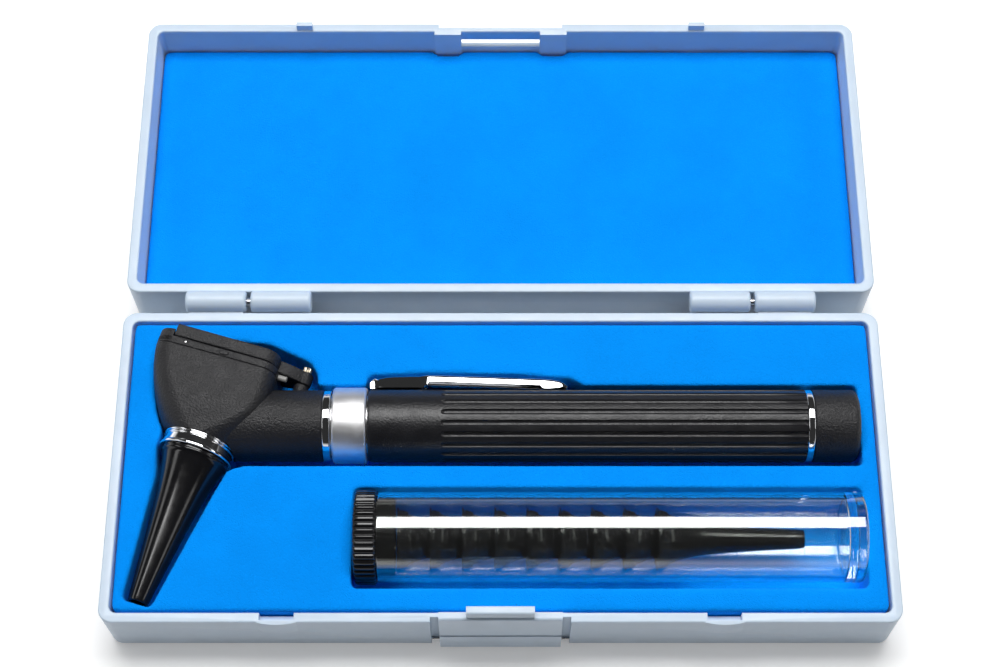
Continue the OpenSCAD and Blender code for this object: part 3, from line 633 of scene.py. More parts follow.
def satin_aluminium():
    """Satin turned aluminium of the switch collar."""
    return turned_metal("Satin aluminium", (0.9, 0.9, 0.91), smooth=0.42, rough=0.5, depth=0.000003,
                        contrast=0.03)


def pin_steel():
    """Ground steel of the pins, the core tube and the spring."""
    return turned_metal("Pin steel", (0.55, 0.55, 0.56), smooth=0.2, rough=0.32, depth=0.000006,
                        contrast=0.08)


def lamp_brass():
    """Turned brass of the contact and the lamp's seat."""
    return turned_metal("Turned brass", (0.72, 0.52, 0.22), smooth=0.18, rough=0.3, depth=0.000006,
                        contrast=0.08)


def worn_brass():
    """Brass of the pivot screw, dulled by handling."""
    return turned_metal("Worn brass", (0.55, 0.48, 0.36), smooth=0.22, rough=0.34, depth=0.000004,
                        contrast=0.15)


def battery_wrap():
    """Printed-film wrap of a cell, dark and plain."""
    return turned_metal("Battery wrap", (0.18, 0.19, 0.21), smooth=0.25, rough=0.35, depth=0.000004,
                        contrast=0.06)


def foam_material():
    """Blue foam: painted shade that darkens each pit hollow below the skin between them, slow changes of
    tone, and a soft sheen.
    """
    surface, bsdf = start_material("Blue foam")
    if bsdf is None:
        return surface
    colour = bpy.context.scene.otocase_foam.foam_colour
    links = surface.node_tree.links
    group = place_group(surface, cells_group(), Cells_per_metre=2300.0, Depth=0.00012)
    base = two_tones(surface, group.outputs["Tone"], shade(colour, 0.95), shade(colour, 1.04))
    # Painted shade: where the pit mask is high the colour is multiplied by (0.9, 0.93, 0.95), standing in for
    # the shade inside each pit.
    pit_relief_and_shade = surface.node_tree.nodes.new("ShaderNodeMix")
    pit_relief_and_shade.data_type = "RGBA"
    pit_relief_and_shade.blend_type = "MULTIPLY"
    links.new(group.outputs["Painted pit shade"], pit_relief_and_shade.inputs["Factor"])
    links.new(base, pit_relief_and_shade.inputs["A"])
    pit_relief_and_shade.inputs["B"].default_value = (0.9, 0.93, 0.95, 1)
    links.new(pit_relief_and_shade.outputs["Result"], bsdf.inputs["Base Color"])
    links.new(group.outputs["Normal"], bsdf.inputs["Normal"])
    bsdf.inputs["Roughness"].default_value = 0.95
    bsdf.inputs["Specular IOR Level"].default_value = 0.06
    bsdf.inputs["Sheen Weight"].default_value = 0.03
    bsdf.inputs["Sheen Roughness"].default_value = 0.6
    bsdf.inputs["Sheen Tint"].default_value = (0.4, 0.65, 1.0, 1)
    return surface


def clear_material(name, colour, ior, rough, gloss=0.0):
    """Clear plastic or glass with faint smears and a share of gloss coat.

    A shadow ray passes through it nearly undimmed, so that the lamps light what lies inside.
    """
    surface, bsdf = start_material(name)
    if bsdf is None:
        return surface
    tree = surface.node_tree
    group = place_group(surface, grain_group(), Grain_per_metre=60.0, Depth=0.000004, Smooth=0.0,
                        Rough=rough)
    tree.links.new(group.outputs["Roughness"], bsdf.inputs["Roughness"])
    bsdf.inputs["Base Color"].default_value = (*colour, 1)
    bsdf.inputs["IOR"].default_value = ior
    bsdf.inputs["Transmission Weight"].default_value = 1.0
    bsdf.inputs["Coat Weight"].default_value = gloss
    bsdf.inputs["Coat IOR"].default_value = 1.75
    bsdf.inputs["Coat Roughness"].default_value = 0.07
    path = tree.nodes.new("ShaderNodeLightPath")
    through = tree.nodes.new("ShaderNodeBsdfTransparent")
    through.inputs["Color"].default_value = (*shade(colour, 0.96), 1)
    mix = tree.nodes.new("ShaderNodeMixShader")
    tree.links.new(path.outputs["Is Shadow Ray"], mix.inputs["Fac"])
    tree.links.new(bsdf.outputs["BSDF"], mix.inputs[1])
    tree.links.new(through.outputs["BSDF"], mix.inputs[2])
    tree.links.new(mix.outputs["Shader"], tree.nodes["Material Output"].inputs["Surface"])
    return surface


def clear_plastic():
    """Clear moulded plastic of the canister."""
    return clear_material("Clear plastic", (0.93, 0.955, 0.92), ior=1.45, rough=0.03, gloss=1.0)


def lens_glass():
    """Glass of the lens and the lamp."""
    return clear_material("Lens glass", (0.96, 0.98, 0.98), ior=1.5, rough=0.01)


FLOOR_RETURN = 0.8
FLOOR_GLOW = 0.25


def floor_material():
    """Pale matte floor with a faint mottle.

    It throws back less light on the object than its colour would, and it glows a little for what the camera,
    metal or glass shows of it.
    """
    surface, bsdf = start_material("Pale floor")
    if bsdf is None:
        return surface
    colour = bpy.context.scene.otocase_stage.floor_colour
    tree = surface.node_tree
    place = tree.nodes.new("ShaderNodeTexCoord").outputs["Object"]
    mottle = noise(tree.nodes, tree.links, place, 3.0, 3, 0.5)
    seen = two_tones(surface, mottle, shade(colour, 0.995), shade(colour, 1.005))
    path = tree.nodes.new("ShaderNodeLightPath")
    dim = tree.nodes.new("ShaderNodeMix")
    dim.data_type = "RGBA"
    tree.links.new(path.outputs["Is Diffuse Ray"], dim.inputs["Factor"])
    tree.links.new(seen, dim.inputs["A"])
    dim.inputs["B"].default_value = (*shade(colour, FLOOR_RETURN), 1)
    lift = path.outputs["Is Camera Ray"]
    for label in ("Is Glossy Ray", "Is Transmission Ray"):
        either = tree.nodes.new("ShaderNodeMath")
        either.operation = "MAXIMUM"
        tree.links.new(lift, either.inputs[0])
        tree.links.new(path.outputs[label], either.inputs[1])
        lift = either.outputs[0]
    share = tree.nodes.new("ShaderNodeMath")
    share.operation = "MULTIPLY"
    share.inputs[1].default_value = FLOOR_GLOW
    tree.links.new(lift, share.inputs[0])
    tree.links.new(share.outputs[0], bsdf.inputs["Emission Strength"])
    bsdf.inputs["Emission Color"].default_value = (1, 1, 1, 1)
    tree.links.new(dim.outputs["Result"], bsdf.inputs["Base Color"])
    bsdf.inputs["Roughness"].default_value = 0.9
    bsdf.inputs["Specular IOR Level"].default_value = 0.1
    return surface


# Case


class OTOCASE_OT_shells(bpy.types.Operator):
    """Dress the two shells: the frame's own forms with smooth walls and rounded edges"""

    bl_idname = "otocase.shells"
    bl_label = "Shells"

    def execute(self, context):
        width = context.scene.otocase_case.edge_bevel
        for node, body in (("base_shell", "base"), ("lid_shell", "lid")):
            piece = merged_copy(node, node.replace("_shell", "_case"))
            rounded_edges(piece, width, 2)
            smooth_by_angle(piece, 32)
            finish_piece(piece, body, case_plastic(), "case_plastic", node)
        return {"FINISHED"}


class OTOCASE_OT_latch(bpy.types.Operator):
    """Dress the latch flap and the pins of latch and hinges"""

    bl_idname = "otocase.latch"
    bl_label = "Latch and pins"

    def execute(self, context):
        width = context.scene.otocase_case.edge_bevel
        flap = merged_copy("latch_flap", "latch")
        rounded_edges(flap, width * 1.6, 3)
        smooth_by_angle(flap, 32)
        finish_piece(flap, "latch", case_plastic(), "case_plastic", "latch_flap")
        for node in ("hinge_pin_left", "hinge_pin_right", "latch_pin"):
            low, high = corners(node)
            r, length = (high[2] - low[2]) / 2, high[0] - low[0]
            profile = filleted([[0, 0], [r, 0], [r, length], [0, length]], [r * 0.3, r * 0.3], 4)
            middle = (low + high) / 2
            placed = along_x(turned(profile, 32), low[0], middle[1], middle[2])
            pin = grid_piece(node.replace("pin", "steel_pin"), placed)
            smooth_by_angle(pin)
            finish_piece(pin, "base", pin_steel(), "steel", node)
        return {"FINISHED"}


class OTOCASE_OT_foam(bpy.types.Operator):
    """Make the foam inserts: the cut forms rebuilt with soft edges and a slightly uneven skin"""

    bl_idname = "otocase.foam"
    bl_label = "Foam inserts"

    def execute(self, context):
        voxel = context.scene.otocase_foam.voxel
        for node, body in (("base_foam", "base"), ("lid_foam", "lid")):
            piece = merged_copy(node, node.replace("_foam", "_insert"))
            shrunk_soft_form(piece, voxel)
            finish_piece(piece, body, foam_material(), "blue_foam", node)
        return {"FINISHED"}


SKIN_PRESS = 0.05 * MM


def read_vectors(items, attribute):
    """The vectors of a mesh's vertices or vertex normals as an (n, 3) array."""
    values = np.empty(len(items) * 3)
    items.foreach_get(attribute, values)
    return values.reshape(-1, 3)


def shrunk_soft_form(piece, voxel):
    """Rebuilds a cut foam block on a voxel grid, relaxes its edges and presses its skin in by a slow wave.

    The wave is a sum of four sines in X and Y, each with its own direction, and moves a point by up to 0.1 mm
    along its normal, always inwards.
    """
    cut_form = read_vectors(piece.data.vertices, "co")
    remesh = piece.modifiers.new("Voxels", "REMESH")
    remesh.mode = "VOXEL"
    remesh.voxel_size = voxel * 1
    remesh.adaptivity = 0
    relax = piece.modifiers.new("Relax", "SMOOTH")
    relax.factor = 0.5
    relax.iterations = 3
    apply_modifiers(piece)
    points = read_vectors(piece.data.vertices, "co")
    normals = read_vectors(piece.data.vertex_normals, "vector")
    x, y = points[:, 0], points[:, 1]
    wave = (np.sin(x * 61 + y * 37) + np.sin(x * 127 - y * 93 + 1.3) + np.sin(x * 211 + y * 307 + 0.4)
            + np.sin(x * 23 - y * 171 + 2.2)) / 4
    points = points - normals * ((wave[:, None] + 1) * SKIN_PRESS)
    points = np.clip(points, cut_form.min(0), cut_form.max(0))
    piece.data.vertices.foreach_set("co", points.ravel())
    piece.data.polygons.foreach_set("use_smooth", np.ones(len(piece.data.polygons), bool))
    piece.data.update()


# Otoscope head

RING_LENGTH = 4.0 * MM
RING_RADIUS = 9.4 * MM
PLATE_S = 24.5 * MM
PLATE_THICKNESS = 2.0 * MM
FRAME_S = 26.6 * MM
HEAD_LENGTH = 30.0 * MM
HALF_WIDTH = 16.1 * MM
HALF_HEIGHT = 10.5 * MM
HEAD_SHIFT = 2.85 * MM
CORNER_RADIUS = 4.5 * MM
NEAR_CORNER_FALL = 5.4 * MM
NEAR_SWELL = 4.8 * MM
NEAR_FALL = 0.9 * MM
FAR_SWELL = 0.35 * MM
WALL = 1.6 * MM
NECK_RADIUS = 9.1 * MM
PIVOT_T = 19.4 * MM
EAR_RADIUS = 2.1 * MM
SWING_RADIUS = PIVOT_T + 15.6 * MM
WINDOW_HALF = (11.5 * MM, 7.2 * MM)
WINDOW_POWER = 2.8
SECTION_POINTS = 120
OUTLINE_POINTS = 720


def head_section(s, inset):
    """Outlines of the head at an array of stations s, inset by an array of distances.

    Each section is a rounded rectangle. With the share u of the head's length and w = sin(90 u), angles being
    in degrees, it reaches 9.4 + 4.8 sin(156 u, at most 90) - 0.9 u ** 3 mm towards the handle, 9.4 + 6.7 w
    + 2.85 sqrt(w) + 0.35 sin(180 u) mm away from it and 9.4 + 1.1 sin(180 u, at most 90) mm up. Its corner
    radius falls from 9.4 mm to 4.0 mm on the handle's side and to 4.5 mm on the other. A point's angle turns
    evenly, and it lies the radius from its quarter's corner centre.
    """
    u = np.clip((np.asarray(s, float) - RING_LENGTH) / (HEAD_LENGTH - RING_LENGTH), 0, 1)[:, None]
    w = np.sin(np.pi / 2 * u)
    a = (np.arange(SECTION_POINTS)[None] + 0.5) * 2 * np.pi / SECTION_POINTS
    inset = np.broadcast_to(np.asarray(inset, float), np.shape(s))[:, None]
    near = RING_RADIUS + NEAR_SWELL * quick_rise(u, 0.577) - NEAR_FALL * u ** 3
    far = RING_RADIUS + (HALF_WIDTH - RING_RADIUS) * w + HEAD_SHIFT * np.sqrt(w)
    far = far + FAR_SWELL * np.sin(np.pi * u)
    up = RING_RADIUS + (HALF_HEIGHT - RING_RADIUS) * quick_rise(u, 0.5)
    r_near = RING_RADIUS - NEAR_CORNER_FALL * quick_rise(u, 0.385)
    r_far = RING_RADIUS + (CORNER_RADIUS - RING_RADIUS) * w
    side = np.cos(a) > 0
    r = np.where(side, r_near, r_far)
    x = np.where(side, near - r, r - far) + (r - inset) * np.cos(a)
    y = np.sign(np.sin(a)) * (up - r) + (r - inset) * np.sin(a)
    return np.stack([x, y, np.broadcast_to(np.asarray(s, float)[:, None], x.shape)], -1)


def quick_rise(u, full):
    """Quarter sine wave that is 0 where u is 0 and stays at 1 once u is past full."""
    return np.sin(np.pi / 2 * np.minimum(1, u / full))


def head_outline(s):
    """The head's section at one station as a closed outline of points at even steps along it."""
    rim = head_section(np.array([s]), 0.0)[0][:, :2]
    loop = np.concatenate([rim, rim[:1]])
    along = np.concatenate([[0], np.cumsum(np.hypot(*np.diff(loop, axis=0).T))])
    at = np.arange(OUTLINE_POINTS) * along[-1] / OUTLINE_POINTS
    return np.stack([np.interp(at, along, loop[:, 0]), np.interp(at, along, loop[:, 1])], -1)


def capped(grid):
    """Closes both ends of a grid of rings with a point at the middle of each."""
    first = np.broadcast_to(grid[0].mean(0), grid[0].shape)[None]
    last = np.broadcast_to(grid[-1].mean(0), grid[-1].shape)[None]
    return np.concatenate([first, grid, last])


def solid_head(s1, s2, inset, edge):
    """Closed loft of the head between two stations, its far edge rounded.

    Past the station where the rounding of radius r starts, a section is inset by r - sqrt(r ** 2 - d ** 2)
    more, d being its distance from there.
    """
    round_s = s2 - edge + edge * np.sin(np.linspace(0.2, np.pi / 2, 7))
    s = np.concatenate([np.linspace(s1, s2 - edge, 40), round_s])
    rim = edge - np.sqrt(np.maximum(0, edge ** 2 - np.maximum(0, s - (s2 - edge)) ** 2))
    return capped(head_section(s, inset + rim))


def cut(piece, tool, operation="DIFFERENCE"):
    """Takes a closed tool piece out of a piece, or unites the two, and removes the tool."""
    boolean = piece.modifiers.new("Cut", "BOOLEAN")
    boolean.operation = operation
    boolean.solver = "EXACT"
    boolean.object = tool
    apply_modifiers(piece)
    bpy.data.objects.remove(tool)


def joined(name, *parts):
    """Joins closed parts into one object without merging them."""
    form = bmesh.new()
    for part in parts:
        form.from_mesh(part.data)
    mesh = bpy.data.meshes.new(name)
    form.to_mesh(mesh)
    form.free()
    for part in parts:
        bpy.data.objects.remove(part)
    piece = bpy.data.objects.new(name, mesh)
    bpy.context.scene.collection.objects.link(piece)
    return piece


def rod(name, r, z1, z2, place):
    """Closed cylinder between two heights, put in place by a placing function."""
    return grid_piece(name, place(turned([[0, z1], [r, z1], [r, z2], [0, z2]], 64)))


class OTOCASE_OT_head(bpy.types.Operator):
    """Make the otoscope's head: housing with its moulded neck, face plate, frame rest, bosses and port"""

    bl_idname = "otocase.head"
    bl_label = "Head"

    def execute(self, context):
        body = "otoscope"
        finish_piece(head_housing(context.scene.otocase_head), body, textured_black(), "black_plastic",
                     "head_housing")
        window = (WINDOW_HALF[0] + 0.8 * MM, WINDOW_HALF[1] + 0.8 * MM)
        plate = outline_block("plate", PLATE_S, PLATE_S + PLATE_THICKNESS, head_outline(PLATE_S), 0.35 * MM,
                              window)
        finish_piece(plate, body, textured_black(), "black_plastic", "face_plate")
        finish_piece(frame_rest(), body, textured_black(), "black_plastic")
        detent = small_boss("plate_detent", -0.2 * MM, 1.35 * MM, 0.72 * MM)
        finish_piece(detent, body, textured_black(), "black_plastic")
        dot = small_boss("plate_pin", -10.5 * MM, 0.36 * MM, 0.36 * MM)
        finish_piece(dot, body, pin_steel(), "steel")
        finish_piece(side_port(), body, grey_plastic(), "grey_plastic", "insufflation_port")
        return {"FINISHED"}


def head_housing(head):
    """Housing: the loft of the head united with its round neck, hollowed, with the pivot's post beside it."""
    neck_x = head.origin[0] + 4 * MM
    ring_x = corners("neck_ring")[0][0]
    housing = grid_piece("housing", on_sight(solid_head(RING_LENGTH, PLATE_S, 0.0, 0.25 * MM)))
    flank = filleted([[0, 0], [NECK_RADIUS, 0], [NECK_RADIUS, ring_x - neck_x], [0, ring_x - neck_x]],
                     [0.5 * MM, 0.3 * MM], 4)
    cut(housing, grid_piece("neck", on_handle(turned(flank, 128), neck_x)), "UNION")
    hollow = solid_head(RING_LENGTH + WALL, PLATE_S + 2 * MM, WALL, 0.2 * MM)
    cut(housing, grid_piece("inside", on_sight(hollow)))
    cut(housing, rod("bore", RING_RADIUS - WALL, RING_LENGTH - 3 * MM, RING_LENGTH + 4 * MM, on_sight))
    cut(housing, rod("seat", 9.8 * MM, -2 * MM, RING_LENGTH, on_sight))
    cut(housing, rod("socket", CORE_BORE, -8 * MM, 2 * MM, lambda p: on_handle(p, ring_x)))
    smooth_by_angle(housing, 24)
    r, s1, s2 = 1.9 * MM, PLATE_S - 6 * MM, FRAME_S - 0.1 * MM
    post = filleted([[0, s1], [r, s1], [r, s2], [0, s2]], [0, 0.2 * MM], 4)
    return joined("housing", housing, sight_piece("post", turned(post, 48) + [PIVOT_T, 0, 0]))


def side_port():
    """Port in the plate's edge: a short tube whose local Z points along local X of the sight line."""
    inner, outer, length = 0.4 * MM, 0.75 * MM, 3.1 * MM
    seat = head_outline(PLATE_S)[:, 0].max() - 0.8 * MM
    profile = filleted([[inner, length], [outer, length], [outer, 0], [inner, 0], [inner, length]],
                       [0.2 * MM, 0, 0], 5)[:-1]
    grid = turned(profile, 40)
    aimed = np.stack([seat + grid[..., 2], grid[..., 1] - 4 * MM,
                      PLATE_S + PLATE_THICKNESS / 2 - grid[..., 0]], -1)
    return sight_piece("port", aimed, wrap_rows=True)


def ear_line(start, root_half, radius, count):
    """Points of an ear's outline: two straight sides from the root to a half circle round the pivot."""
    a = np.linspace(-np.pi / 2, np.pi / 2, count)
    arc = np.stack([PIVOT_T + radius * np.cos(a), radius * np.sin(a)], -1)
    return np.concatenate([[[start, -root_half]], arc, [[start, root_half]]])


def window_outline(half_w, half_h, count):
    """Points of |x / a| ** n + |y / b| ** n = 1, n being 2.8."""
    a = np.arange(count) * 2 * np.pi / count
    x = half_w * np.sign(np.cos(a)) * np.abs(np.cos(a)) ** (2 / WINDOW_POWER)
    y = half_h * np.sign(np.sin(a)) * np.abs(np.sin(a)) ** (2 / WINDOW_POWER)
    return np.stack([x, y], -1)


def with_ear(outline):
    """Pulls an outline out to the ear round the pivot, where the ear lies outside it.

    Along each ray from the middle of the head lies one point, at the farther of the outline and the ear. The
    ear is the pivot's circle joined by straight sides.
    """
    angle = np.linspace(-np.pi, np.pi, OUTLINE_POINTS + 1)[:-1]
    rays = np.stack([np.cos(angle), np.sin(angle)], -1)
    ear = ear_line(HALF_WIDTH - HEAD_SHIFT - 3 * MM, 5 * MM, EAR_RADIUS, 40)
    reach = np.maximum(ray_reach(outline, angle), ray_reach(ear, angle, 0.0))
    return rays * reach[:, None]


def ray_reach(outline, angle, missing=None):
    """Distance from the origin to an outline along each ray, linear between its points' own angles.

    A closed outline has none missing. For an open one, missing is the distance where no point lies.
    """
    a = np.arctan2(outline[:, 1], outline[:, 0])
    r = np.hypot(outline[:, 0], outline[:, 1])
    order = np.argsort(a)
    if missing is None:
        return np.interp(angle, a[order], r[order], period=2 * np.pi)
    return np.interp(angle, a[order], r[order], left=missing, right=missing)


def small_boss(name, t, half_t, half_s):
    """Low oval boss on the face plate's upper side, between its two parting lines.

    Its rings have the size cos(a) ** 0.3 and the height sin(a) of a flat dome, 0.3 mm high, over a foot that
    reaches 0.4 mm into the plate.
    """
    section = head_outline(PLATE_S)
    upper = section[section[:, 1] < 0]
    upper = upper[np.argsort(upper[:, 0])]
    a = np.concatenate([[0], np.linspace(0, np.pi / 2, 8)])[:, None]
    turn = np.arange(48) * 2 * np.pi / 48
    size = np.cos(a) ** 0.3
    height = np.interp(t, *upper.T) - 0.3 * MM * np.sin(a)
    height[0] += 0.4 * MM
    grid = np.stack([t + half_t * size * np.cos(turn), np.broadcast_to(height, (len(a), len(turn))),
                     PLATE_S + PLATE_THICKNESS / 2 + half_s * size * np.sin(turn)], -1)
    return sight_piece(name, capped(grid))


def frame_outline():
    """Outline of the lens frame: the head's section with the ear, its free end on the arc round the pivot."""
    outline = with_ear(head_outline(HEAD_LENGTH))
    offset = outline - [PIVOT_T, 0]
    far = np.hypot(offset[:, 0], offset[:, 1])
    return [PIVOT_T, 0] + offset * np.minimum(1, SWING_RADIUS / far)[:, None]


def scaled_rings(outline, middle, sizes, heights):
    """Grid of rings: an outline scaled about a middle by each row of sizes, at each height."""
    flat = middle + (outline - middle) * np.asarray(sizes)[..., None]
    heights = np.broadcast_to(np.reshape(heights, (-1, 1, 1)), (*flat.shape[:2], 1))
    return np.concatenate([flat, heights], -1)


def outline_block(name, s1, s2, rim, edge, window):
    """Plate between two stations with an outline, rounded outer edges, and a window with a small chamfer.

    Going round the wall's section, the outline is inset by edge * (1 - cos a) while the height changes by
    edge * (1 - sin a), and then the window's outline is followed back.
    """
    middle = rim.mean(0)
    size = np.hypot(*(rim - middle).T)
    t = np.linspace(0, np.pi / 2, 6)
    inset = np.concatenate([edge * (1 - np.sin(t)), edge * (1 - np.cos(t))])
    heights = np.concatenate([s1 + edge * (1 - np.cos(t)), s2 - edge * (1 - np.sin(t))])
    rings = list(scaled_rings(rim, middle, 1 - inset[:, None] / size, heights))
    angle = np.arctan2(rim[:, 1], rim[:, 0] + HEAD_SHIFT)
    chamfer = 0.3 * MM
    for grow, h in ((chamfer, s2), (0.0, s2 - chamfer), (0.0, s1)):
        reach = ray_reach(window_outline(window[0] + grow, window[1] + grow, OUTLINE_POINTS), angle)
        across, up = reach * np.cos(angle) - HEAD_SHIFT, reach * np.sin(angle)
        rings.append(np.stack([across, up, np.full(len(rim), h)], -1))
    return sight_piece(name, np.stack(rings), wrap_rows=True)


def sight_piece(name, grid, wrap_rows=False, degrees=35):
    """Makes a piece from a grid placed on the sight line and shades it."""
    piece = grid_piece(name, on_sight(grid), wrap_rows=wrap_rows)
    smooth_by_angle(piece, degrees)
    return piece


def frame_rest():
    """Rest that the lens frame's free end closes against.

    It fills the strip between the head's section and an arc round the pivot, just outside the frame's own.
    """
    rim = head_outline(PLATE_S)
    far = np.hypot(rim[:, 0] - PIVOT_T, rim[:, 1])
    gap = SWING_RADIUS + 0.25 * MM
    outside = rim[far > gap]
    outside = outside[np.argsort(outside[:, 1])]
    a = np.arctan2(outside[:, 1], outside[:, 0] - PIVOT_T)
    inner = np.stack([PIVOT_T + gap * np.cos(a), gap * np.sin(a)], -1)
    loop = np.concatenate([outside, inner[::-1]])
    top = PLATE_S + PLATE_THICKNESS + 2.0 * MM
    grid = scaled_rings(loop, loop.mean(0), [[1.0], [1.0], [0.97], [0.93]],
                        [PLATE_S + 0.5 * MM, top - 0.5 * MM, top - 0.12 * MM, top])
    return sight_piece("frame_rest", capped(grid))


class OTOCASE_OT_lens(bpy.types.Operator):
    """Make the swivelling lens frame with its lens and the pivot screw"""

    bl_idname = "otocase.lens"
    bl_label = "Lens"

    def execute(self, context):
        holder = outline_block("lens_holder", FRAME_S, HEAD_LENGTH, frame_outline(), 0.5 * MM, WINDOW_HALF)
        finish_piece(holder, "lens_holder", textured_black(), "black_plastic", "lens_frame")
        finish_piece(domed_lens(), "lens_holder", lens_glass(), "clear_lens", "lens")
        finish_piece(knurled_screw(), "otoscope", worn_brass(), "brass", "pivot_screw")
        return {"FINISHED"}


def domed_lens():
    """Lens with a flat back and a shallow dome: its rings shrink as cos(a) while they rise 0.7 sin(a) mm."""
    back, front = FRAME_S + 0.6 * MM, HEAD_LENGTH - 0.9 * MM
    a = np.linspace(0, np.pi / 2, 14)
    rim = window_outline(WINDOW_HALF[0] - 0.02 * MM, WINDOW_HALF[1] - 0.02 * MM, 160)
    sizes = np.concatenate([[0, 1], np.cos(a)])[:, None]
    heights = np.concatenate([[back, back], front + 0.7 * MM * np.sin(a)])
    return sight_piece("lens_glass", scaled_rings(rim, 0, sizes, heights) + [-HEAD_SHIFT, 0, 0])


def ridged_rows(rows, a, depth, wave):
    """Grid of rings from rows of (radius, height, share): the radius is r + share * depth * wave(a)."""
    rows = np.array(rows, float)
    r = rows[:, :1] + rows[:, 2:] * depth * MM * wave
    return np.stack([r * np.cos(a), r * np.sin(a), np.repeat(rows[:, 1:2], len(a), 1)], -1)


def knurled_screw():
    """Pivot screw with a knurled head: the head's radius is 1.2 + 0.08 cos(16 a) mm."""
    a = np.arange(96) * 2 * np.pi / 96
    s1, s2 = PLATE_S, HEAD_LENGTH + 0.2 * MM
    rows = [(0.0, s1, 0), (0.9 * MM, s1, 0), (0.9 * MM, s2, 0), (1.1 * MM, s2, 0),
            (1.2 * MM, s2 + 0.15 * MM, 1), (1.2 * MM, s2 + 1.3 * MM, 1), (1.05 * MM, s2 + 1.5 * MM, 0),
            (0.0, s2 + 1.5 * MM, 0)]
    return sight_piece("lens_screw", ridged_rows(rows, a, 0.08, np.cos(16 * a)) + [PIVOT_T, 0, 0])


class OTOCASE_OT_specula(bpy.types.Operator):
    """Make the specula ring and the fitted speculum"""

    bl_idname = "otocase.specula"
    bl_label = "Ring and fitted speculum"

    def execute(self, context):
        ring = sight_piece("ring", turned(specula_ring_profile(), 128), wrap_rows=True, degrees=30)
        finish_piece(ring, "otoscope", chrome(), "bright_chrome", "specula_ring")
        tip = sight_piece("ear_tip", turned(fitted_profile(), 112), wrap_rows=True)
        finish_piece(tip, "ear_tip", gloss_black(), "gloss_black", "fitted_speculum")
        return {"FINISHED"}


def specula_ring_profile():
    """Profile of the specula ring: a bead at its mouth, a face that leans in by 0.35 mm, and a low bead."""
    line = np.array([[-1.6, 0], [0, 0], [0.2, 0.15], [0.2, 0.5], [-0.02, 0.9], [-0.05, 1.06], [-0.37, 2.62],
                     [-0.4, 2.8], [-0.1, 2.84], [-0.1, 3.24], [-0.4, 3.3], [-0.4, 3.42], [0, 3.5], [0, 4],
                     [-1.6, 4]]) * MM + [RING_RADIUS, 0]
    radii = np.array([0.1, 0.15, 0.2, 0.12, 0, 0, 0.04, 0.2, 0.2, 0.04, 0.04, 0.24, 0.25]) * MM
    return filleted(line, radii, 4)


def fitted_profile():
    """Closed profile of the fitted speculum with its collar in the specula ring.

    At share k of its length from the rim, the outer radius is 2.6 + 6.1 (0.72 (1 - k) + 0.28 (1 - k) ** 6)
    mm, and a bead adds 0.38 exp(-((d - 1.0) / 0.5) ** 2) mm at distance d mm from the rim. The tip is a half
    round.
    """
    length, tip, t = 39.8 * MM, 2.6 * MM, 0.7 * MM
    k = np.concatenate([np.linspace(0, 0.075, 16), np.linspace(0.09, 1, 46)])
    outer = tip + (RING_RADIUS - 0.7 * MM - tip) * (0.72 * (1 - k) + 0.28 * (1 - k) ** 6)
    outer = outer + 0.38 * MM * np.exp(-((k * length - 1.0 * MM) / (0.5 * MM)) ** 2)
    s = -length * k - 0.1 * MM
    lip = np.linspace(0, np.pi, 9)
    tip_round = np.stack([outer[-1] - t / 2 + t / 2 * np.cos(lip), s[-1] - t / 2 * np.sin(lip)], -1)
    collar, collar_end = RING_RADIUS - 1.68 * MM, RING_LENGTH - 0.6 * MM
    return np.concatenate([[[collar, collar_end], [collar, -0.1 * MM]], np.stack([outer, s], -1)[:-1],
                           tip_round, np.stack([outer - t, s], -1)[::-1][1:],
                           [[collar - t, 0.6 * MM], [collar - t, collar_end]]])


# Otoscope handle

COLLAR_BORE = 8.13 * MM
END_RING_BORE = 8.2 * MM
GROOVE_HALF_WIDTH = 0.78 * MM


def handle_ring(name, node, bore, fillet, surface, slot, body="otoscope"):
    """Turned ring in place of a ring node, with the node's own length and diameter."""
    low, high = corners(node)
    profile = ring_profile(bore, (high[2] - low[2]) / 2, 0, high[0] - low[0], fillet)
    piece = grid_piece(name, on_handle(turned(profile, 128), low[0]), wrap_rows=True)
    smooth_by_angle(piece, 30)
    return finish_piece(piece, body, surface, slot, node)


class OTOCASE_OT_neck(bpy.types.Operator):
    """Make the neck ring and the satin switch collar"""

    bl_idname = "otocase.neck"
    bl_label = "Neck ring and switch collar"

    def execute(self, context):
        handle_ring("neck_band", "neck_ring", CORE_BORE, 0.45 * MM, chrome(), "bright_chrome")
        handle_ring("switch_band", "switch_collar", COLLAR_BORE, 0.7 * MM, satin_aluminium(),
                    "satin_aluminium", "switch")
        return {"FINISHED"}


class OTOCASE_OT_handle(bpy.types.Operator):
    """Make the grooved sleeve, the end ring and the battery cap"""

    bl_idname = "otocase.handle"
    bl_label = "Handle"

    def execute(self, context):
        sleeve = grooved_sleeve(context.scene.otocase_handle)
        finish_piece(sleeve, "otoscope", ribbed_black(), "black_plastic", "handle_sleeve")
        handle_ring("end_band", "end_ring", END_RING_BORE, 0.5 * MM, chrome(), "bright_chrome")
        finish_piece(handle_cap(), "handle_cap", textured_black(), "black_plastic", "battery_cap")
        return {"FINISHED"}


def handle_cap():
    """Battery cap: a turned plug with a spigot in the sleeve and a shallow dish in its end."""
    low, high = corners("battery_cap")
    r, spigot, bore, wall = 9.25 * MM, 8.12 * MM, 7.45 * MM, 2 * MM
    step, length = 8.0 * MM, high[0] - low[0]
    dish_edge, dish, dish_end = 5.6 * MM, 5.2 * MM, length - 0.25 * MM
    line = [[bore, 0], [spigot, 0], [spigot, step], [r, step + 0.1 * MM], [r, length], [dish_edge, length],
            [dish, dish_end], [0, dish_end]]
    outer = filleted(line, np.array([0.2, 0, 0.3, 1.6, 0.15, 0.15]) * MM, 7)
    profile = np.concatenate([outer, [[0, length - wall], [bore, length - wall]]])
    piece = grid_piece("handle_cap", on_handle(turned(profile, 128), low[0]), wrap_rows=True)
    smooth_by_angle(piece, 35)
    return piece


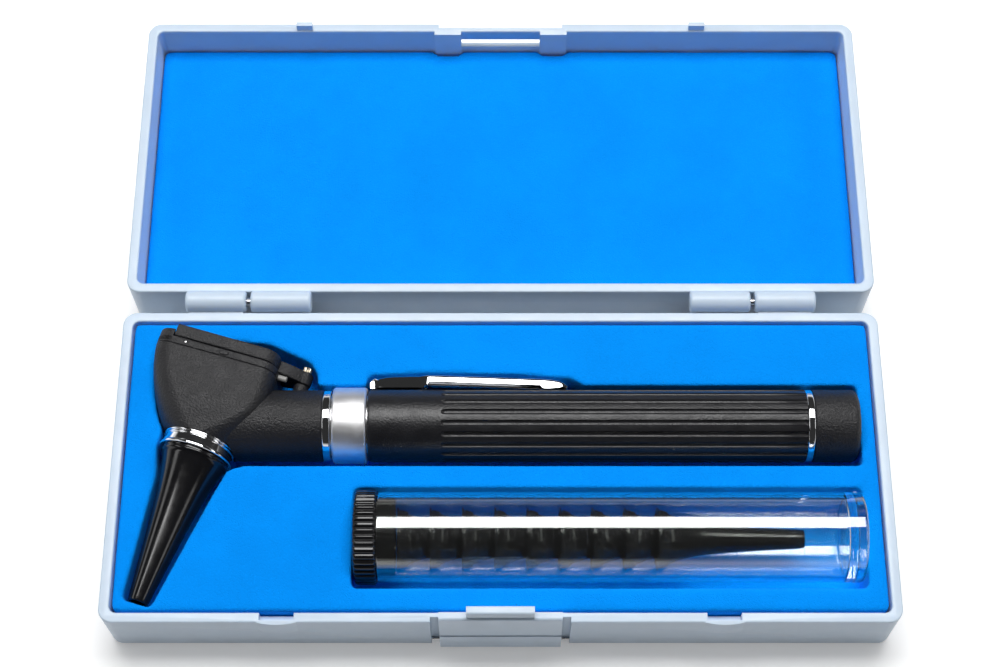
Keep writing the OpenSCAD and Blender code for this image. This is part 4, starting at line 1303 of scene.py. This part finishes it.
def grooved_sleeve(handle):
    """Sleeve with round-bottomed grooves.

    Across a groove, u runs from -1 to 1 and the radius is R - d sqrt(1 - u ** 2). Towards the plain end a
    groove ends in a round: u is replaced by the distance from the groove's last centre.
    """
    low, high = SLEEVE
    length, radius = high[0] - low[0], (high[2] - low[2]) / 2
    half_width = GROOVE_HALF_WIDTH
    pitch = 2 * np.pi / handle.groove_count
    across = np.concatenate([np.sin(np.linspace(-np.pi / 2, np.pi / 2, 17)) * half_width / radius,
                             np.linspace(half_width / radius, pitch - half_width / radius, 5)[1:-1]])
    angle = (np.arange(handle.groove_count)[:, None] * pitch + across[None]).ravel()
    from_middle = np.minimum(np.mod(angle, pitch), pitch - np.mod(angle, pitch)) * radius
    start = length - handle.ribbed_length
    stations = np.concatenate([[0, 0.1 * MM, 0.4 * MM], np.linspace(1 * MM, start - 0.5 * MM, 6),
                               np.linspace(start, start + 2.4 * MM, 16),
                               np.linspace(start + 5 * MM, length - 0.1 * MM, 12), [length]])
    before = np.maximum(0, start + 1.6 * MM - stations)[:, None] * 0.55
    u = np.minimum(1, np.hypot(from_middle[None], before) / half_width)
    depth = handle.groove_depth * np.sqrt(1 - u ** 2)
    edge = np.zeros(len(stations))
    edge[0], edge[1], edge[-1] = 0.35 * MM, 0.12 * MM, 0.12 * MM
    r = radius - depth - edge[:, None]
    outer = np.stack([r * np.cos(angle), r * np.sin(angle), np.broadcast_to(stations[:, None], r.shape)], -1)
    thread, web, seat = length - 6.6 * MM, 2.5 * MM, 0.5 * MM
    bore_r = np.array([8.25, 8.25, 7.65, 7.65, 5.5, 5.5, 8.06, 8.06])[:, None] * MM
    bore_h = np.array([length, thread, thread, web, web, seat, seat, 0])[:, None]
    inner = np.stack([bore_r * np.cos(angle), bore_r * np.sin(angle),
                      np.broadcast_to(bore_h, (len(bore_h), len(angle)))], -1)
    piece = grid_piece("sleeve", on_handle(np.concatenate([outer, inner]), low[0]), wrap_rows=True)
    smooth_by_angle(piece, 50)
    return piece


class OTOCASE_OT_clip(bpy.types.Operator):
    """Make the folded sheet-metal pocket clip"""

    bl_idname = "otocase.clip"
    bl_label = "Pocket clip"

    def execute(self, context):
        finish_piece(folded_clip(), "otoscope", chrome(), "bright_chrome", "pocket_clip")
        return {"FINISHED"}


def folded_clip():
    """Channel-shaped clip: at each station along the handle the section is a folded strip.

    The strip goes up one flange, round a bend of radius 0.9 mm, across the back and down the other flange,
    and back again 0.6 mm inside. The heights of the back and of the flanges' feet, and the width, run
    straight between a few points along the clip.
    """
    low, high = corners("pocket_clip")
    half = (high[2] - low[2]) / 2
    t, bend = 0.6 * MM, 0.9 * MM
    s = np.concatenate([np.linspace(0, 13.2, 34), np.linspace(13.4, 15.2, 12), np.linspace(16, 43, 30),
                        np.linspace(43.5, 50.5, 24)]) * MM
    back_at = np.array([0, 0.6, 1.6, 3.5, 6, 10, 13.3, 20, 30, 43.5, 46, 48.3, 49.6, 50.5]) * MM
    back_drop = np.array([-1.7, -1.15, -0.8, -0.35, -0.08, 0, 0, -0.22, -0.57, -1.1, -1.25, -1.6, -2.1, -2.7])
    back_line = np.interp(s, back_at, high[1] + back_drop * MM)
    foot_at = np.array([0, 13.3, 14.4, 15.0, 43.5, 44.2, 46, 48.3, 50.5]) * MM
    foot_rise = np.array([-0.1, -0.1, 0.9, 2.0, 0.92, 0.06, 0.04, 0.3, 1.2]) * MM + SLEEVE[1][1]
    foot_line = np.minimum(np.interp(s, foot_at, foot_rise), back_line - 0.75 * MM)
    width = half * np.interp(s, np.array([0, 46, 49, 50.5]) * MM, [1, 1, 0.93, 0.78])
    # at the root the flanges lean out towards the sleeve
    root = np.interp(s, np.array([1.3, 1.9, 12.4, 14.6]) * MM, [0, 1, 1, 0])
    foot_width, width = width + 0.75 * MM * root, width - 0.75 * MM * root
    width, foot_width, back_line, foot_line = (v[:, None] for v in (width, foot_width, back_line, foot_line))
    a = np.linspace(0, np.pi / 2, 8)
    inner = max(bend - t, 0.3 * MM)
    outer_x = width + np.append(np.cos(a) * bend - bend, -1.4 * MM)
    outer_y = back_line - np.append(bend - np.sin(a) * bend, 0)
    inner_x = width - t + (np.cos(a) * inner - inner)
    inner_y = back_line - (inner - np.sin(a) * inner + t)
    across = np.concatenate([foot_width, outer_x, -outer_x[:, ::-1], -foot_width,
                             -foot_width + t, -inner_x, inner_x[:, ::-1], foot_width - t], 1)
    height = np.concatenate([foot_line, outer_y, outer_y[:, ::-1], foot_line,
                             foot_line, inner_y, inner_y[:, ::-1], foot_line], 1)
    along = np.broadcast_to(low[0] + s[:, None], across.shape)
    grid = np.stack([along, height, HANDLE_AXIS[2] + across], -1)
    piece = grid_piece("clip", grid)
    closed_ends(piece)
    smooth_by_angle(piece, 40)
    return piece


def closed_ends(piece):
    """Fills the open loops at the ends of a tube-like piece and turns its faces outwards."""
    form = bmesh.new()
    form.from_mesh(piece.data)
    loops = [edge for edge in form.edges if len(edge.link_faces) == 1]
    bmesh.ops.holes_fill(form, edges=loops, sides=0)
    bmesh.ops.recalc_face_normals(form, faces=form.faces)
    form.to_mesh(piece.data)
    form.free()


class OTOCASE_OT_inside(bpy.types.Operator):
    """Dress what the otoscope holds inside: cells, spring, contact, core tube and lamp"""

    bl_idname = "otocase.inside"
    bl_label = "Inner parts"

    def execute(self, context):
        surfaces = {
            "core_tube": pin_steel,
            "battery_spring": pin_steel,
            "contact_plunger": lamp_brass,
            "lamp_holder": lamp_brass,
            "lamp": lens_glass,
            "battery_front": battery_wrap,
            "battery_rear": battery_wrap,
        }
        for node, surface in surfaces.items():
            dress_node(node, surface())
        return {"FINISHED"}


# Canister


class OTOCASE_OT_canister(bpy.types.Operator):
    """Make the clear canister tube and its ridged cap"""

    bl_idname = "otocase.canister"
    bl_label = "Canister"

    def execute(self, context):
        finish_piece(clear_tube(), "canister", clear_plastic(), "clear_plastic", "canister_tube")
        cap = ridged_cap(context.scene.otocase_canister.ridge_count)
        finish_piece(cap, "canister_lid", gloss_black(), "black_plastic", "canister_cap")
        return {"FINISHED"}


def clear_tube():
    """Canister's tube, open to the cap, with a thick closed end that has a dish in it."""
    low, high = TUBE
    length, r = high[0] - low[0], (high[2] - low[2]) / 2
    bore = r - 1.5 * MM
    floor, dish, dish_end = length - 4.4 * MM, bore - 2 * MM, length - 2.2 * MM
    line = [[bore, 0], [r, 0], [r, length], [dish + 0.6 * MM, length], [dish, dish_end], [0, dish_end]]
    outer = filleted(line, np.array([0.3, 0.9, 0.3, 0.4]) * MM, 6)
    inner = filleted([[0, floor], [bore, floor], [bore, 0.0]], [0.7 * MM], 6)
    profile = np.concatenate([outer, inner])
    piece = grid_piece("canister", on_canister(turned(profile, 160), low[0]), wrap_rows=True)
    smooth_by_angle(piece, 30)
    return piece


def ridged_cap(count):
    """Plug cap whose ridged rim has the radius R - 0.42 ((1 + cos(n a)) / 2) ** 3 mm, with narrow valleys."""
    low, high = corners("canister_cap")
    a = np.arange(count * 10) * 2 * np.pi / (count * 10)
    r, rim, length = (high[2] - low[2]) / 2, 5.7 * MM, high[0] - low[0]
    plug = 9.72 * MM
    wave = ((1 + np.cos(count * a)) / 2) ** 3
    rows = [(0.0, 0.35 * MM, 0), (r - 3.2 * MM, 0.35 * MM, 0), (r - 2.6 * MM, 0.0, 0), (r - 1.1 * MM, 0.0, 0),
            (r - 0.55 * MM, 0.12 * MM, 0.1), (r - 0.2 * MM, 0.4 * MM, 0.5), (r, 0.8 * MM, 1),
            (r, rim - 0.7 * MM, 1), (r - 0.2 * MM, rim - 0.3 * MM, 0.6), (r - 0.7 * MM, rim, 0),
            (plug, rim, 0), (plug, length - 0.4 * MM, 0), (plug - 0.4 * MM, length, 0),
            (plug - 1.9 * MM, length, 0), (plug - 1.9 * MM, 1.6 * MM, 0), (0.0, 1.6 * MM, 0)]
    grid = ridged_rows(rows, a, -0.42, wave)
    piece = grid_piece("canister_plug", on_canister(grid, low[0]), wrap_rows=True)
    smooth_by_angle(piece, 40)
    return piece


class OTOCASE_OT_spares(bpy.types.Operator):
    """Make the nested spare specula"""

    bl_idname = "otocase.spares"
    bl_label = "Spare specula"

    def execute(self, context):
        form = spare_form()
        for i in range(1, context.scene.otocase_canister.spare_count + 1):
            low, high = corners(f"speculum_{i}")
            drop = CANISTER_AXIS[2] - (low[2] + high[2]) / 2
            piece = grid_piece(f"spare_{i}", on_canister(form, low[0], drop), wrap_rows=True)
            smooth_by_angle(piece, 35)
            finish_piece(piece, "canister", gloss_black(), "gloss_black", f"speculum_{i}")
        return {"FINISHED"}


def spare_form():
    """Spare speculum with a thin rim, a ribbed band and a barrel that flares like a trumpet.

    At distance d from the rim, with k = 1 - d / 36.6, the barrel's radius is 2.325 + 1.9 k + 3.775 k ** 6 mm.
    On the band the radius grows by 0.09 cos(54 a) mm. The rows hold radius and distance in mm and the share
    of the ribs.
    """
    length, t, columns = 36.6, 0.33, 216
    a = np.arange(columns) * 2 * np.pi / columns

    def barrel(d):
        k = 1 - d / length
        return 2.325 + 1.9 * k + 3.775 * k ** 6

    d = np.concatenate([np.linspace(3.15, 12, 14), np.linspace(13.5, length - 0.2, 14)])
    lip = np.linspace(0, np.pi, 7)
    rim = [[7.7, 0, 0], [7.92, 0, 0], [8, 0.08, 0], [8, 0.3, 0], [7.9, 0.4, 0], [7.32, 0.46, 0],
           [7.3, 0.8, 0]]
    band = [[7.36, 0.86, 0.4], [7.34, 0.95, 1], [6.78, 2.6, 1], [6.72, 2.72, 0.4], [6.5, 2.78, 0],
            [6.42, 2.9, 0]]
    nose_r, nose_d = barrel(length) - t / 2 + t / 2 * np.cos(lip), length - 0.15 + 0.15 * np.sin(lip)
    outer = np.stack([np.append(barrel(d), nose_r), np.append(d, nose_d), np.zeros(len(d) + len(lip))], -1)
    inner = np.stack([barrel(d) - t, d, d * 0], -1)[::-1]
    mouth = [[barrel(2.0) - t, 2.0, 0], [barrel(1.0) - t, 1.0, 0], [7.41, 0.4, 0]]
    rows = np.concatenate([rim, band, outer, inner, mouth])
    r = (rows[:, :1] + 0.09 * rows[:, 2:] * np.cos(54 * a)) * MM
    return np.stack([r * np.cos(a), r * np.sin(a), np.repeat(rows[:, 1:2] * MM, columns, 1)], -1)


# Stage

CAMERA_PLACE = (0.0, -190.2 * MM, 485.8 * MM)
CAMERA_SHIFT = (-0.0005, 0.0295)
FLOOR_HALF_SIDE = 2.5
FLOOR_DROP = 0.1 * MM
LAMP_TARGET = (0.0, 0.03, 0.0)
# name, place, width and depth in metres, power in watts
LAMPS = (
    ("Top lamp", (0.0, 0.33, 1.0), 0.9, 0.5, 12.4),
    ("Left lamp", (-0.8, 0.05, 0.5), 0.7, 0.2, 1.0),
    ("Right lamp", (0.8, 0.05, 0.5), 0.7, 0.2, 1.0),
)
TABLE_LIGHT = 0.9
CEILING_LIGHT = 0.03


class OTOCASE_OT_stage(bpy.types.Operator):
    """Set the camera, the floor, the lamps and the world"""

    bl_idname = "otocase.stage"
    bl_label = "Stage"

    def execute(self, context):
        scene = context.scene
        stage = scene.otocase_stage
        scene.view_settings.view_transform = "Standard"
        camera_data = bpy.data.cameras.new("Camera")
        camera_data.sensor_width = 36
        camera_data.lens = stage.lens
        camera_data.shift_x, camera_data.shift_y = CAMERA_SHIFT
        camera_data.clip_start = 0.01
        camera = bpy.data.objects.new("Camera", camera_data)
        camera.location = CAMERA_PLACE
        camera.rotation_euler = (np.pi / 2 - stage.pitch, 0, 0)
        scene.collection.objects.link(camera)
        scene.camera = camera

        reach = np.linspace(-FLOOR_HALF_SIDE, FLOOR_HALF_SIDE, 5)
        x, y = np.meshgrid(reach, reach, indexing="ij")
        grid = np.stack([x, y, np.full_like(x, -FLOOR_DROP)], -1)
        floor = grid_piece("floor", grid, wrap_columns=False, closed=False)
        floor.data.materials.append(floor_material())

        for lamp in LAMPS:
            soft_lamp(*lamp)
        world_light(scene)
        return {"FINISHED"}


def soft_lamp(name, where, width, depth, power):
    """Rectangular lamp that faces the middle of the case."""
    data = bpy.data.lights.new(name, "AREA")
    data.shape = "RECTANGLE"
    data.size, data.size_y = width, depth
    data.energy = power
    lamp = bpy.data.objects.new(name, data)
    gaze = np.array(LAMP_TARGET) - np.array(where)
    gaze = gaze / np.linalg.norm(gaze)
    side = np.cross(gaze, [0, 0, 1])
    side = side / np.linalg.norm(side)
    up = np.cross(side, gaze)
    place = np.eye(4)
    place[:3] = np.stack([side, up, -gaze, where], 1)
    lamp.matrix_world = Matrix(place.tolist())
    bpy.context.scene.collection.objects.link(lamp)


def world_light(scene):
    """World that is pale at and under the horizon and dim above it, as a studio is round a pale table."""
    world = bpy.data.worlds.new("Studio")
    scene.world = world
    world.use_nodes = True
    nodes, links = world.node_tree.nodes, world.node_tree.links
    direction = nodes.new("ShaderNodeSeparateXYZ")
    links.new(nodes.new("ShaderNodeTexCoord").outputs["Generated"], direction.inputs["Vector"])
    level = ramp(nodes, links, direction.outputs["Z"], 0.0, 0.2, TABLE_LIGHT, CEILING_LIGHT)
    background = nodes["Background"]
    background.inputs["Color"].default_value = (1, 1, 1, 1)
    links.new(level, background.inputs["Strength"])


class OTOCASE_PT_build(bpy.types.Panel):
    """Lists the operators that build the carry case"""

    bl_idname = "OTOCASE_PT_build"
    bl_label = "Otoscope carry case"
    bl_space_type = "VIEW_3D"
    bl_region_type = "UI"
    bl_category = "Carry case"

    def draw(self, context):
        for operator in OPERATORS:
            self.layout.operator(operator.bl_idname)
        for name in SETTINGS:
            box = self.layout.box()
            settings = getattr(context.scene, name)
            for label in settings.bl_rna.properties.keys():
                if label not in {"rna_type", "name"}:
                    box.prop(settings, label)


SETTINGS = {
    "otocase_case": CaseSettings,
    "otocase_foam": FoamSettings,
    "otocase_handle": HandleSettings,
    "otocase_head": HeadSettings,
    "otocase_canister": CanisterSettings,
    "otocase_stage": StageSettings,
}
OPERATORS = (
    OTOCASE_OT_stage,
    OTOCASE_OT_shells,
    OTOCASE_OT_latch,
    OTOCASE_OT_foam,
    OTOCASE_OT_head,
    OTOCASE_OT_lens,
    OTOCASE_OT_specula,
    OTOCASE_OT_neck,
    OTOCASE_OT_handle,
    OTOCASE_OT_clip,
    OTOCASE_OT_inside,
    OTOCASE_OT_canister,
    OTOCASE_OT_spares,
)


def register():
    """Registers the settings, the operators and the panel."""
    for name, group in SETTINGS.items():
        bpy.utils.register_class(group)
        setattr(bpy.types.Scene, name, bpy.props.PointerProperty(type=group))
    for operator in OPERATORS:
        bpy.utils.register_class(operator)
    bpy.utils.register_class(OTOCASE_PT_build)


def unregister():
    """Takes back what register did."""
    bpy.utils.unregister_class(OTOCASE_PT_build)
    for operator in reversed(OPERATORS):
        bpy.utils.unregister_class(operator)
    for name, group in reversed(SETTINGS.items()):
        delattr(bpy.types.Scene, name)
        bpy.utils.unregister_class(group)


def main():
    register()
    for operator in OPERATORS:
        group, label = operator.bl_idname.split(".")
        getattr(getattr(bpy.ops, group), label)()


if __name__ == "__main__":
    main()
